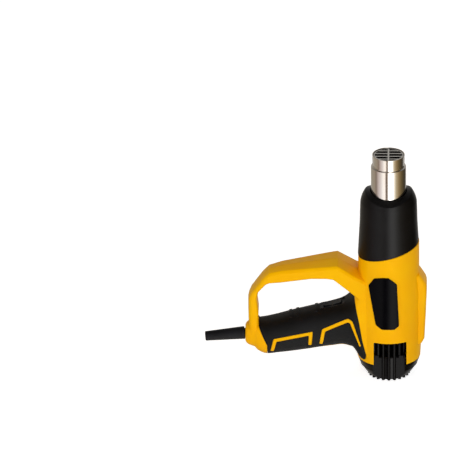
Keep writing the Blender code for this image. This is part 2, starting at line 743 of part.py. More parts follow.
def drum_solid():
    """The ribbed drum, an outline of half-round ribs drawn straight up."""
    bm = bmesh.new()
    points = []
    steps = 4
    for i in range(CAP_RIB_COUNT * steps):
        angle = 2 * math.pi * i / (CAP_RIB_COUNT * steps)
        wave = math.cos(angle * CAP_RIB_COUNT + math.pi)
        radius = CAP_DRUM_R + CAP_RIB_R * max(wave, 0.0) ** 0.6
        points.append(bm.verts.new((radius * math.cos(angle), radius * math.sin(angle), 0)))
    pushed = bmesh.ops.extrude_face_region(bm, geom=[bm.faces.new(points)])
    moved = [v for v in pushed["geom"] if isinstance(v, bmesh.types.BMVert)]
    bmesh.ops.translate(bm, vec=(0, 0, CAP_DRUM_Z), verts=moved)
    return new_object("drum", bm)


def rear_cap(black):
    """Intake cap: flanks that close the barrel, and a ribbed drum that shows in the side notches."""
    flank_top = REAR_EDGE_Z - GAP
    outer = [(0, 0)] + [(r, min(z, flank_top)) for r, z in CAP_FLANK] + [(0, flank_top)]
    cap = turned("rear_cap", outer, steps=44)
    spigot_r = REAR_CAVITY_R - GAP
    join(cap, turned("spigot", [(0, 12), (spigot_r, 12), (spigot_r, REAR_EDGE_Z + 6), (0, REAR_EDGE_Z + 6)],
                     steps=44))
    side = NOTCH_HALF_W - GAP
    for way in (-1, 1):
        ends = sorted((way * (CAP_DRUM_R - 1.2), way * 50))
        cut(cap, box("side_cut", (-side, ends[0], -5), (side, ends[1], 60)))
    join(cap, drum_solid())
    shell = CAP_DRUM_R - CAP_DRUM_WALL
    cut(cap, turned("drum_room", [(0, FLOOR_T), (shell, FLOOR_T), (shell, 80), (0, 80)], steps=36))
    pocket_r = CAP_DRUM_R + CAP_RIB_R + 0.8
    flank_in = [(pocket_r, 80), (pocket_r, CAP_FLANK[1][1] + 1)]
    flank_in += [(r - CAP_WALL, z) for r, z in CAP_FLANK[2:4]]
    flank_in += [(spigot_r - CAP_WALL, CAP_FLANK[4][1]), (spigot_r - CAP_WALL, 80)]
    for way in (-1, 1):
        pocket = turned("pocket", flank_in[::-1], steps=44)
        ends = sorted((way * (side + CAP_WALL), -way * 60))
        cut(pocket, box("keep", (ends[0], -60, -5), (ends[1], 60, 90)))
        cut(cap, pocket)
    for i in range(CAP_RIB_COUNT):
        angle = 2 * math.pi * i / CAP_RIB_COUNT
        c, s = math.cos(angle), math.sin(angle)
        if abs(CAP_DRUM_R * c) < side - CAP_SLOT_W:
            slot = box(f"slot_{i}", (shell - 4, -CAP_SLOT_W / 2, CAP_SLOT_LOW_Z),
                       (CAP_DRUM_R + 4, CAP_SLOT_W / 2, CAP_SLOT_HIGH_Z))
            slot.data.transform(Matrix.Rotation(angle, 4, "Z"))
            cut(cap, slot)
    for i in range(FLOOR_SLOT_COUNT):
        slot = box(f"floor_{i}", (FLOOR_SLOT_R[0], -FLOOR_SLOT_W / 2, -2),
                   (FLOOR_SLOT_R[1], FLOOR_SLOT_W / 2, FLOOR_T + 2))
        slot.data.transform(Matrix.Rotation(2 * math.pi * i / FLOOR_SLOT_COUNT, 4, "Z"))
        cut(cap, slot)
    return paint(cap, black)


def build_grips(rubber):
    """Soft overmould on each half of the handle, with gaps where the accent ribs stand."""
    grip = handle_solid("grip", 0.0)
    cut(grip, grip_zone("grip_keep", -GAP), "INTERSECT")
    cut(grip, handle_solid("grip_core", GRIP_T))
    barrel = BARREL_MID_R + GAP
    cut(grip, turned("barrel_gap", [(0, 0), (barrel, 0), (barrel, BARREL_NECK_Z), (0, BARREL_NECK_Z)],
                     steps=BARREL_STEPS))
    ribs = accent_ribs("grip_ribs", GAP, None)
    keep = ACCENT_KEEP_Y - GAP
    cut(ribs, box("rib_gap", (-160, -keep, 0), (0, keep, 120)))
    cut(grip, ribs)
    cut(grip, switch_cut("grip_window", SWITCH_FRAME[0] / 2 - SWITCH_BODY[0] / 2 + GAP))
    for i, (x, z, seat) in enumerate(HOUSING_SCREWS):
        cut(grip, rod(f"grip_hole_{i}", (x, 4, z), (x, 60, z), SCREW_HEAD_R + 2 * GAP, sides=20))
    for name, side in (("left_grip", -1), ("right_grip", 1)):
        paint(halve(grip, name, side), rubber)
    bpy.data.objects.remove(grip, do_unlink=True)


def name_plate(black):
    """Bare plate with cut corners on the left side, curved to lie on the barrel."""
    plate = side_plate("side_plate", list(PLATE_OUTLINE), -2 * BARREL_MID_R, -5)
    knots = (BARREL_FLARE_Z, BARREL_SHOULDER_Z, BARREL_NECK_Z, COVER_EDGE_Z)
    over = [(0, BARREL_FLARE_Z), *((barrel_radius(z) + PLATE_T, z) for z in knots), (0, COVER_EDGE_Z)]
    low, high = BARREL_FLARE_Z - 1, COVER_EDGE_Z + 1
    under = [(0, low), (barrel_radius(BARREL_FLARE_Z) + GAP, low)]
    under += [(barrel_radius(z) + GAP, z) for z in knots[1:3]]
    under += [(barrel_radius(high) + GAP, high), (0, high)]
    cut(plate, turned("plate_skin", over, steps=BARREL_STEPS), "INTERSECT")
    cut(plate, turned("plate_bed", under, steps=BARREL_STEPS))
    return paint(plate, black)


def build_screws(steel):
    for i, (x, z, seat) in enumerate(HOUSING_SCREWS):
        length = seat + SCREW_DEPTH - 0.5
        under = seat + GAP
        top = under + SCREW_HEAD_H
        profile = [(0, top), (SCREW_HEAD_R * 0.7, top), (SCREW_HEAD_R, under + SCREW_HEAD_H * 0.45),
                   (SCREW_HEAD_R, under), (SCREW_SHANK_R, under), (SCREW_SHANK_R, seat + 1.5 - length),
                   (0, under - length)]
        screw = turned(f"housing_screw_{i + 1}", profile, steel, steps=10)
        low, high = seat + SCREW_HEAD_H - DRIVE_DEPTH, seat + SCREW_HEAD_H + 2
        for reach, half in ((DRIVE_R, DRIVE_W / 2), (DRIVE_W / 2, DRIVE_R)):
            cut(screw, box("drive", (-reach, -half, low), (reach, half, high)))
        paint(screw, steel)
        screw.data.transform(Matrix.Translation((x * MM, 0, z * MM)) @ Matrix.Rotation(-math.pi / 2, 4, "X"))


def cable_boot(rubber):
    """Tapered strain relief with a collar held inside the heel and an open bore at its tip."""
    length = math.dist(BOOT_START, BOOT_END)
    collar = BOOT_COLLAR_T - BOOT_INSIDE
    profile = [(BOOT_BORE_R, length), (BOOT_TIP_R, length), (BOOT_ROOT_R, 2 * GAP), (BOOT_NECK_R, 2 * GAP),
               (BOOT_NECK_R, collar), (BOOT_COLLAR_R, collar), (BOOT_COLLAR_R, -BOOT_INSIDE),
               (BOOT_BORE_R, -BOOT_INSIDE)]
    boot = turned("cable_boot", profile, rubber, steps=20)
    turn = Vector((0, 0, 1)).rotation_difference(boot_point(1) - boot_point(0)).to_matrix().to_4x4()
    boot.data.transform(Matrix.Translation(boot_point(0) * MM) @ turn)
    return boot


def on_grip(obj):
    """Puts a piece drawn round the origin at the seat of the switch."""
    turn = Matrix.Rotation(-SWITCH_TILT, 4, "Y")
    obj.data.transform(Matrix.Translation((SWITCH_X * MM, 0, SWITCH_TOP_Z * MM)) @ turn)
    return obj


def switch_plate(name, growth, top):
    """The frame's rectangle at the switch's seat, from under the frame to a height above the seat."""
    length, width, thick = SWITCH_FRAME
    reach, half = length / 2 + growth, width / 2 + growth
    return on_grip(box(name, (-reach, -half, SWITCH_RISE - thick - growth), (reach, half, top)))


def build_switch(black):
    """Rocker switch: a body through the grip's finger side, its rocker and the pin it rocks on."""
    length, width, depth = SWITCH_BODY
    body = box("switch_body", (-length / 2, -width / 2, -depth), (length / 2, width / 2, SWITCH_RISE))
    edge, side, thick = SWITCH_FRAME
    join(body, box("frame", (-edge / 2, -side / 2, SWITCH_RISE - thick), (edge / 2, side / 2, SWITCH_RISE)))
    half_l, half_w = ROCKER_SIZE[0] / 2, ROCKER_SIZE[1] / 2
    cut(body, box("well", (-half_l - 0.6, -half_w - GAP, -ROCKER_WELL), (half_l + 0.6, half_w + GAP, 5)))
    hole = ROCKER_PIN_R + GAP
    cut(body, rod("pin_way", (0, -20, ROCKER_PIVOT), (0, 20, ROCKER_PIVOT), hole, sides=12))
    for x in (-6.0, 0.0, 6.0):
        blade = box("blade", (x - 0.4, -2.4, -depth - 4), (x + 0.4, 2.4, -depth + 1))
        join(body, blade)
    paint(on_grip(body), black)
    outline = [(-half_l, ROCKER_RISE), (-half_l + 0.3, -ROCKER_DEPTH), (half_l - 0.3, -ROCKER_DEPTH),
               (half_l, ROCKER_RISE), (half_l * 0.5, ROCKER_RISE * 0.72), (0, ROCKER_RISE * 0.4),
               (-half_l * 0.5, ROCKER_RISE * 0.72)]
    rocker = side_plate("switch_rocker", outline, -half_w, half_w)
    cut(rocker, rod("rocker_bore", (0, -20, ROCKER_PIVOT), (0, 20, ROCKER_PIVOT), hole, sides=12))
    paint(on_grip(rocker), black)
    end = width / 2 - GAP
    pin = rod("switch_pin", (0, -end, ROCKER_PIVOT), (0, end, ROCKER_PIVOT), ROCKER_PIN_R, STEEL, sides=12)
    on_grip(pin)


def build_motor(steel, black, copper, grey):
    """Permanent-magnet motor: can, end bell, two magnets, bushes, and the turning armature."""
    low, high = MOTOR_Z
    inner = MOTOR_R - MOTOR_WALL
    seat = BUSH_R + GAP
    turned("motor_can", [(MOTOR_R, high), (MOTOR_R, low), (inner, low), (inner, high - MOTOR_WALL),
                         (seat + 1.5, high - MOTOR_WALL), (seat + 1.5, high - 3.0), (seat, high - 3.0),
                         (seat, high)], steel, steps=28)
    bell = turned("motor_end_bell", [(MOTOR_R, low - GAP), (MOTOR_R, BELL_Z + 2), (MOTOR_R - 2, BELL_Z),
                                     (seat, BELL_Z), (seat, low + 1.5), (seat + 1.5, low + 1.5),
                                     (seat + 1.5, low - GAP)], steps=28)
    for i in range(4):
        window = box("window", (8.5, -3, BELL_Z - 2), (14.5, 3, low + 2))
        window.data.transform(Matrix.Rotation(math.pi * (i + 0.5) / 2, 4, "Z"))
        cut(bell, window)
    paint(bell, black)
    for name, top in (("front_bush", high + 0.5), ("rear_bush", BELL_Z + BUSH_T - 0.5)):
        turned(name, [(BUSH_R, top), (BUSH_R, top - BUSH_T), (SHAFT_R + GAP, top - BUSH_T),
                      (SHAFT_R + GAP, top)], copper, steps=16)
    for name, side in (("magnet_left", -1), ("magnet_right", 1)):
        magnet_r = inner - GAP
        ring = turned(name, [(magnet_r, high - 6), (magnet_r, low + 6), (magnet_r - MAGNET_T, low + 6),
                             (magnet_r - MAGNET_T, high - 6)], steps=32)
        ends = sorted((side * MAGNET_GAP_W / 2, -side * 40))
        cut(ring, box("gap", (-40, ends[0], 0), (40, ends[1], 200)))
        paint(ring, grey)
    rod("motor_shaft", (0, 0, SHAFT_Z[0]), (0, 0, SHAFT_Z[1]), SHAFT_R, steel, sides=12)
    bore = SHAFT_R + GAP
    low, high = ARMATURE_Z
    core = turned("armature", [(ARMATURE_R, high), (ARMATURE_R, low), (COMMUTATOR_R, low),
                               (COMMUTATOR_R, COMMUTATOR_Z[0]), (bore, COMMUTATOR_Z[0]), (bore, high)],
                  steps=30)
    for i in range(5):
        slot = box("slot", (6.5, -1.6, low - 2), (20, 1.6, high + 2))
        slot.data.transform(Matrix.Rotation(2 * math.pi * i / 5, 4, "Z"))
        cut(core, slot)
    paint(core, steel)


def motor_mount(black):
    """Ring that centres the motor in the shells, with vanes that leave the air room to pass."""
    low, high = MOUNT_Z
    hub_in = MOTOR_R + GAP
    hub_out = hub_in + MOUNT_HUB_T
    rim_out = CAVITY_R - GAP
    rim_in = rim_out - MOUNT_RIM_T
    mount = turned("motor_mount", [(hub_out, high), (hub_out, low), (hub_in, low), (hub_in, high)], steps=24)
    join(mount, turned("rim", [(rim_out, high), (rim_out, low), (rim_in, low), (rim_in, high)], steps=24))
    for i in range(MOUNT_VANES):
        vane = box("vane", (hub_out - 1, -0.8, low + 0.5), (rim_in + 0.8, 0.8, high - 0.5))
        vane.data.transform(Matrix.Rotation(2 * math.pi * (i + 0.5) / MOUNT_VANES, 4, "Z"))
        join(mount, vane)
    return paint(mount, black)


def fan_impeller(grey):
    """Axial fan on the motor's shaft: a hub and pitched blades."""
    low, high = FAN_Z
    bore = SHAFT_R + GAP
    fan = turned("fan_impeller", [(FAN_HUB_R, high), (FAN_HUB_R, low), (bore, low), (bore, high)], steps=18)
    for i in range(FAN_BLADES):
        blade = box("blade", (FAN_HUB_R - 1.0, -FAN_BLADE_T / 2, -5.2), (FAN_R, FAN_BLADE_T / 2, 5.2))
        turn = Matrix.Rotation(2 * math.pi * i / FAN_BLADES, 4, "Z") @ Matrix.Rotation(FAN_TWIST, 4, "X")
        blade.data.transform(Matrix.Translation((0, 0, (low + high) / 2 * MM)) @ turn)
        join(fan, blade)
    return paint(fan, grey)


def air_duct(black):
    """Cone that gathers the air into the steel tube and carries the tube's flange."""
    rim = CAVITY_R - GAP
    top = TUBE_FLANGE_Z - GAP
    throat = TUBE_R - TUBE_WALL
    low, high = FAN_Z[0] - 2, FAN_Z[1] + 2
    profile = [(TUBE_FLANGE_R, top), (TUBE_FLANGE_R, top - 3), (rim, high), (rim, low),
               (rim - DUCT_WALL, low), (rim - DUCT_WALL, high - 1), (throat, top - 2), (throat, top)]
    return turned("air_duct", profile, black, steps=30)


def build_heater(ceramic, mica, wire):
    """Ceramic former with its wound wire, the mica sleeve round it and the disc at its foot."""
    low, high = HEATER_Z
    former = turned("heater_core", [(0, low), (HEATER_R, low), (HEATER_R, high), (0, high)], steps=24)
    for i in range(HEATER_HOLES):
        angle = 2 * math.pi * i / HEATER_HOLES
        x, y = HEATER_HOLE_PLACE_R * math.cos(angle), HEATER_HOLE_PLACE_R * math.sin(angle)
        cut(former, rod("channel", (x, y, low - 2), (x, y, high + 2), HEATER_HOLE_R, sides=6))
    paint(former, ceramic)
    inner = MICA_OUT_R - MICA_T
    turned("mica_sleeve", [(MICA_OUT_R, MICA_Z[1]), (MICA_OUT_R, MICA_Z[0]), (inner, MICA_Z[0]),
                           (inner, MICA_Z[1])], mica, steps=24)
    base_r = inner - GAP
    base = turned("heater_base", [(0, low - GAP - BASE_T), (base_r, low - GAP - BASE_T),
                                  (base_r, low - GAP), (0, low - GAP)], steps=28)
    for i in range(BASE_HOLES):
        angle = 2 * math.pi * i / BASE_HOLES
        x, y = BASE_HOLE_PLACE_R * math.cos(angle), BASE_HOLE_PLACE_R * math.sin(angle)
        cut(base, rod("air_hole", (x, y, low - 10), (x, y, low + 10), BASE_HOLE_R, sides=6))
    paint(base, mica)
    points = []
    for i in range(COIL_TURNS * COIL_STEPS + 1):
        turn = i / COIL_STEPS
        angle = 2 * math.pi * turn
        z = low + 5 + (high - low - 10) * turn / COIL_TURNS
        points.append((COIL_R * math.cos(angle), COIL_R * math.sin(angle), z))
    wire_curve("heater_coil", points, COIL_WIRE_R, wire, sides=0)
    seat = low - BASE_T - 2 * GAP
    rod("thermal_fuse", (0, 0, seat - FUSE_LENGTH), (0, 0, seat), FUSE_R, STEEL, sides=12)


def wire_curve(name, points, radius, mat, sides=2):
    """A round wire through points, as a curve with filled ends made into a closed mesh."""
    curve = bpy.data.curves.new(name, "CURVE")
    curve.dimensions = "3D"
    curve.bevel_depth = radius * MM
    curve.bevel_resolution = sides
    curve.use_fill_caps = True
    spline = curve.splines.new("POLY")
    spline.points.add(len(points) - 1)
    for slot, point in zip(spline.points, points):
        slot.co = (*(Vector(point) * MM), 1)
    guide = bpy.data.objects.new(name + "_guide", curve)
    COLLECTION.objects.link(guide)
    mesh = bpy.data.meshes.new_from_object(guide.evaluated_get(bpy.context.evaluated_depsgraph_get()))
    bm = bmesh.new()
    bm.from_mesh(mesh)
    bmesh.ops.remove_doubles(bm, verts=bm.verts, dist=1e-6)
    bmesh.ops.scale(bm, vec=(1 / MM, 1 / MM, 1 / MM), verts=bm.verts)
    bpy.data.objects.remove(guide, do_unlink=True)
    return new_object(name, bm, mat)


def smooth_path(points, steps=4):
    """A Catmull-Rom curve through hand-picked points."""
    points = [Vector(p) for p in points]
    padded = [2 * points[0] - points[1], *points, 2 * points[-1] - points[-2]]
    path = []
    for a, b, c, d in zip(padded, padded[1:], padded[2:], padded[3:]):
        for i in range(steps):
            t = i / steps
            path.append(0.5 * (2 * b + (c - a) * t + (2 * a - 5 * b + 4 * c - d) * t * t
                               + (3 * b - a - 3 * c + d) * t ** 3))
    path.append(points[-1])
    return path


def build_electrics(green, black, steel):
    """Control board with its parts, the cord clamp and its screws, and the inner leads."""
    left, right = BOARD_X
    top = BOARD_Z + BOARD_T
    box("circuit_board", (left, -BOARD_HALF_W, BOARD_Z), (right, BOARD_HALF_W, top), green)
    seat = top + GAP
    box("rectifier", (left + RECTIFIER_X[0], RECTIFIER_Y[0], seat),
        (left + RECTIFIER_X[1], RECTIFIER_Y[1], seat + RECTIFIER_H), black)
    x = left + CAPACITOR_X
    rod("capacitor", (x, CAPACITOR_Y, seat), (x, CAPACITOR_Y, seat + CAPACITOR_H), CAPACITOR_R, black, 14)
    box("terminal_block", (right - TERMINAL_X[0], -TERMINAL_HALF_W, seat),
        (right - TERMINAL_X[1], TERMINAL_HALF_W, seat + TERMINAL_H), black)
    reach = CLAMP_POST_DZ + CLAMP_POST_R
    bar = box("cable_clamp", (CLAMP_X - CLAMP_HALF_L, GAP, CLAMP_Z - reach),
              (CLAMP_X + CLAMP_HALF_L, CLAMP_T, CLAMP_Z + reach))
    seat = CLAMP_T + GAP
    for i, way in enumerate((-1, 1)):
        z = CLAMP_Z + way * CLAMP_POST_DZ
        cut(bar, rod("clamp_hole", (CLAMP_X, -CLAMP_T, z), (CLAMP_X, 3 * CLAMP_T, z), CLAMP_SCREW_R + GAP,
                     sides=10))
        profile = [(0, seat + CLAMP_HEAD_H), (CLAMP_HEAD_R, seat + CLAMP_HEAD_H), (CLAMP_HEAD_R, seat),
                   (CLAMP_SCREW_R, seat), (CLAMP_SCREW_R, -CLAMP_SCREW_DEPTH), (0, -CLAMP_SCREW_DEPTH)]
        screw = turned(f"clamp_screw_{i + 1}", profile, steel, steps=10)
        screw.data.transform(Matrix.Translation((CLAMP_X * MM, 0, z * MM))
                             @ Matrix.Rotation(-math.pi / 2, 4, "X"))
    paint(bar, black)


def build_leads(brown, blue):
    """Two leads that run under the cord clamp and back to the top of the terminal block."""
    end_x = BOARD_X[1] - (TERMINAL_X[0] + TERMINAL_X[1]) / 2
    top = BOARD_Z + BOARD_T + 2 * GAP + TERMINAL_H
    low = -LEAD_R - 0.05
    for name, side, mat in (("live_lead", -1, brown), ("neutral_lead", 1, blue)):
        z = CLAMP_Z + side * 2 * LEAD_R
        route = ((CLAMP_X - 5, low, z), (CLAMP_X + 4, low, z),
                 *((x, side * y, z) for x, y, z in LEAD_ROUTE),
                 (end_x, side * 5.0, top + 1.9), (end_x, side * 5.0, top))
        wire_curve(name, smooth_path(route, 2), LEAD_R, mat, sides=1)


start_scene()
YELLOW = material("yellow_abs", (0.9, 0.5, 0.0), 0.4)
BLACK = material("black_abs", (0.02, 0.02, 0.022), 0.45)
RUBBER = material("black_tpe", (0.025, 0.025, 0.027), 0.6)
STEEL = material("stainless_steel", (0.6, 0.58, 0.55), 0.25, 1.0)
BRONZE = material("sintered_bronze", (0.45, 0.25, 0.1), 0.45, 1.0)
FERRITE = material("ferrite", (0.08, 0.08, 0.09), 0.6)
CERAMIC = material("steatite", (0.8, 0.76, 0.68), 0.7)
MICA = material("mica", (0.55, 0.47, 0.3), 0.5)
BOARD = material("glass_epoxy", (0.02, 0.2, 0.08), 0.5)
BROWN = material("brown_pvc", (0.16, 0.05, 0.02), 0.5)
BLUE = material("blue_pvc", (0.02, 0.1, 0.4), 0.5)
build_housing(YELLOW)
nozzle_cover(BLACK)
nozzle_tube(STEEL)
nozzle_grille(STEEL)
rear_cap(BLACK)
build_grips(RUBBER)
name_plate(BLACK)
build_screws(STEEL)
cable_boot(RUBBER)
build_switch(BLACK)
build_motor(STEEL, BLACK, BRONZE, FERRITE)
motor_mount(BLACK)
fan_impeller(BLACK)
air_duct(BLACK)
build_heater(CERAMIC, MICA, STEEL)
build_electrics(BOARD, BLACK, STEEL)
build_leads(BROWN, BLUE)
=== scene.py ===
"""Hot air tool on its rear face: the finished look of every piece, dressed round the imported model."""

import functools
import math

import bmesh
import bpy
from mathutils import Matrix, Vector


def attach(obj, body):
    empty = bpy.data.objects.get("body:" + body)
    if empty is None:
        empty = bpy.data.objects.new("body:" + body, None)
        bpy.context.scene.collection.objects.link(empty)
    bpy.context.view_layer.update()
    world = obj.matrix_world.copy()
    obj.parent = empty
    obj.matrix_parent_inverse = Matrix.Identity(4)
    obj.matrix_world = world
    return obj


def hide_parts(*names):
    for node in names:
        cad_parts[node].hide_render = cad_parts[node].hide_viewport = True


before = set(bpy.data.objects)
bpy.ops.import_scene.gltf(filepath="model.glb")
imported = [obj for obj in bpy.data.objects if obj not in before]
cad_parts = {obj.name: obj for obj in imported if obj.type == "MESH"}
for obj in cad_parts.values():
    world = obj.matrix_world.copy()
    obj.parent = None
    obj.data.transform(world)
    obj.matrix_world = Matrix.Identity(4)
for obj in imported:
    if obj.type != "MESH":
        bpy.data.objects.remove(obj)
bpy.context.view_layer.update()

# Camera, floor and lamps
# A long lens from in front and above, so that a millimetre is about a pixel.
# The tool's foot is low in the frame and to the right, as in the photograph.
MM = 0.001
CAMERA_AZIMUTH = math.radians(1.2)
CAMERA_ROLL = math.radians(-0.5)
CAMERA_ELEVATION = math.radians(25.5)
CAMERA_DISTANCE = 12.0
FRAME_WIDTH = 0.4495
FOOT_RIGHT_OF_CENTRE = 0.1625
FOOT_BELOW_CENTRE = 0.1475
SENSOR = 36.0


def placed(name, data):
    """A new object of the scene."""
    thing = bpy.data.objects.new(name, data)
    bpy.context.scene.collection.objects.link(thing)
    return thing


def linear(hex_colour):
    """An sRGB hex colour as the linear colour that a shader wants."""
    values = [int(hex_colour[i:i + 2], 16) / 255 for i in (0, 2, 4)]
    values = [v / 12.92 if v <= 0.04045 else ((v + 0.055) / 1.055) ** 2.4 for v in values]
    return (*values, 1.0)


def add_node(tree, kind, **values):
    """Adds a node, a shader node if its kind doesn't say Node. A name in small letters is a setting.

    The other names are inputs, or their numbers, and take a value, a socket or a node's first output.
    """
    node = tree.nodes.new(kind if "Node" in kind else "ShaderNode" + kind)
    for name, value in values.items():
        if name.islower():
            setattr(node, name, value)
            continue
        socket = node.inputs[int(name[1:]) if name[0] == "_" else name.replace("_", " ")]
        if isinstance(value, bpy.types.Node):
            value = value.outputs[0]
        if isinstance(value, bpy.types.NodeSocket):
            tree.links.new(value, socket)
        else:
            socket.default_value = value
    return node


def emptied(owner):
    """Clears a material's or world's nodes and returns the function that adds new ones."""
    owner.use_nodes = True
    owner.node_tree.nodes.clear()
    return functools.partial(add_node, owner.node_tree)


back = Vector((math.sin(CAMERA_AZIMUTH) * math.cos(CAMERA_ELEVATION),
               -math.cos(CAMERA_AZIMUTH) * math.cos(CAMERA_ELEVATION), math.sin(CAMERA_ELEVATION)))
right = Vector((math.cos(CAMERA_AZIMUTH), math.sin(CAMERA_AZIMUTH), 0))
aim = back.cross(right) * FOOT_BELOW_CENTRE - right * FOOT_RIGHT_OF_CENTRE
lens = bpy.data.cameras.new("camera")
lens.lens = SENSOR * CAMERA_DISTANCE / FRAME_WIDTH
lens.sensor_width = SENSOR
lens.clip_end = 40.0
camera = placed("camera", lens)
camera.location = aim + back * CAMERA_DISTANCE
towards = back.to_track_quat("Z", "Y").to_matrix()
camera.rotation_euler = (towards @ Matrix.Rotation(CAMERA_ROLL, 3, "Z")).to_euler()
bpy.context.scene.camera = camera
bpy.context.scene.view_settings.view_transform = "Standard"

# The floor is matt white board: it keeps the tool's shadow and is white where the camera sees it.
FLOOR_HALF_WIDTH = 6.0
FLOOR_DROP = 0.0002
FLOOR_GLOW = 0.72


def floor_board():
    mat = bpy.data.materials.new("white_board")
    add = emptied(mat)
    rays = add("LightPath").outputs["Is Camera Ray"]
    board = add("BsdfDiffuse", Color=linear("F2F2F2"))
    glow = add("Emission", Color=linear("FFFFFF"), Strength=FLOOR_GLOW)
    seen = add("AddShader", _0=board, _1=glow)
    add("OutputMaterial", Surface=add("MixShader", _0=rays, _1=board, _2=seen))
    bm = bmesh.new()
    bmesh.ops.create_grid(bm, x_segments=1, y_segments=1, size=FLOOR_HALF_WIDTH)
    mesh = bpy.data.meshes.new("floor")
    bm.to_mesh(mesh)
    bm.free()
    mesh.materials.append(mat)
    floor = placed("floor", mesh)
    floor.location.z = -FLOOR_DROP
    floor.visible_glossy = False


# Cards that the shiny faces mirror, by bearing from the camera's side in degrees, positive to the right.
# A bright window a little right of the camera gives the soft band down the cover and the barrel. Each of
# its sides has the bearing where it begins and the bearing where it is full.
REFLECTED = (
    (-180, "B4B1AD"), (-134, "908A7E"), (-100, "8F8476"), (-84, "7A6C61"), (-66, "B8ABA8"), (-50, "D0C8C6"),
    (-36, "F0ECE8"), (-22, "FFF6EE"), (-16, "6A5A4E"), (-8, "5E4E44"), (-3, "E4DCD6"), (6, "FFFFFF"),
    (34, "FFFAF0"), (48, "B0A184"), (68, "847050"), (88, "5F5136"), (112, "40382A"), (132, "3A352C"),
    (150, "A4A29F"), (180, "B4B1AD"),
)
WINDOW_SIDES = ((-4, 10), (34, 20))
WINDOW_STRENGTH = 2.9
SURROUND_STRENGTH = 0.30
MIRRORED_STRENGTH = 1.3
OVERHEAD_SHARE = 0.3
LAMPS = (
    ("key", (0.35, -2.4, 0.9), (0, 0, 0.1), 1.3, 1.3, 32.0, "FFFFFF"),
    ("fill", (-2.0, -1.4, 0.7), (-0.05, 0, 0.1), 1.0, 1.6, 15.0, "FFFFFF"),
    ("top", (0.1, 0.2, 2.0), (-0.05, 0, 0.1), 0.9, 0.9, 6.0, "FFEBCC"),
    ("rim", (1.4, 1.4, 0.8), (0, 0, 0.1), 0.6, 1.2, 5.0, "FFFFFF"),
    ("side", (2.1, -1.1, 0.6), (0, 0, 0.1), 0.9, 1.4, 5.0, "FFF6E8"),
)


def surround():
    """White for the camera, dimmer from above for the soft light, and cards for the reflections."""
    world = bpy.data.worlds.new("studio")
    bpy.context.scene.world = world
    add = emptied(world)
    path = add("LightPath").outputs
    way = add("SeparateXYZ", _0=add("TexCoord").outputs["Generated"]).outputs
    near = add("Math", operation="MULTIPLY", _0=way["Y"], _1=-1.0)
    bearing = add("Math", operation="ARCTAN2", _0=way["X"], _1=near)
    share = add("MapRange", Value=bearing, From_Min=-math.pi, From_Max=math.pi)
    cards = add("ValToRGB", Fac=share)
    ramp = cards.color_ramp.elements
    while len(ramp) < len(REFLECTED):
        ramp.new(0.5)
    for stop, (degrees, colour) in zip(ramp, REFLECTED):
        stop.position = (degrees + 180) / 360
        stop.color = linear(colour)
    left, right = (add("MapRange", interpolation_type="SMOOTHSTEP", Value=bearing,
                       From_Min=math.radians(begins), From_Max=math.radians(full))
                   for begins, full in WINDOW_SIDES)
    pane = add("Math", operation="MULTIPLY", _0=left, _1=right)
    window = add("Math", operation="MULTIPLY_ADD", _0=pane, _1=WINDOW_STRENGTH - 1.0, _2=1.0)
    overhead = add("MapRange", Value=way["Z"], From_Min=0.1, From_Max=0.8, To_Min=1.0,
                   To_Max=OVERHEAD_SHARE)
    soft = add("Math", operation="MULTIPLY", _0=overhead, _1=SURROUND_STRENGTH)
    light = add("Background", Color=linear("FFFFFF"), Strength=soft)
    above = add("Math", operation="MULTIPLY", _0=overhead, _1=MIRRORED_STRENGTH)
    gleam = add("Math", operation="MULTIPLY", _0=above, _1=window)
    mirrored = add("Background", Color=cards, Strength=gleam)
    white = add("Background", Color=linear("FFFFFF"), Strength=1.0)
    lit = add("MixShader", _0=path["Is Glossy Ray"], _1=light, _2=mirrored)
    shown = add("Math", operation="MAXIMUM", _0=path["Is Camera Ray"],
                _1=path["Is Transmission Ray"])
    add("OutputWorld", Surface=add("MixShader", _0=shown, _1=lit, _2=white))


floor_board()
surround()
for name, place, target, width, height, power, tone in LAMPS:
    light = bpy.data.lights.new(name, "AREA")
    light.color = linear(tone)[:3]
    light.shape = "RECTANGLE"
    light.size = width
    light.size_y = height
    light.energy = power
    lamp = placed(name, light)
    lamp.location = place
    lamp.rotation_euler = (Vector(place) - Vector(target)).to_track_quat("Z", "Y").to_euler()
    lamp.visible_glossy = False

# Yellow clamshell
# Two injection-moulded ABS halves: barrel, raised spine, loop guard, heel and the core of the handle.
# Each half is one moulding, closed by six screws from the right along the mould line.
SPLIT = 0.15
GAP = 0.3
FAR = 260.0
WELD = 0.0005
TURN_STEPS = 144
SHARP_EDGE = math.radians(28)
REAR_EDGE_Z = 20.5
UNDER_HALF = 38.0
BARREL_PROFILE = ((31.4, 20.5), (32, 31), (32.4, 40), (32.5, 52), (32.5, 92), (32.3, 99),
                  (31.7, 105), (31, 110), (30.6, 114), (30.4, 118), (30.4, 160))
CAVITY_R = 28.8
CAVITY_Z = (10, 170)
COVER_EDGE_Z = 137.8
COVER_EDGE_SLOPE = 0.25
SPINE_OUTLINE = ((23.4, 112), (30.5, 112.5), (33.2, 108.6), (37, 102.3), (37.8, 99.4), (38, 96),
                 (37, 70), (35.5, 42), (33, 37.2), (30.9, 35), (23.4, 35))
SPINE_HALF_WIDTH = 14.0
SPINE_EDGE = (4.0, 6, 60)
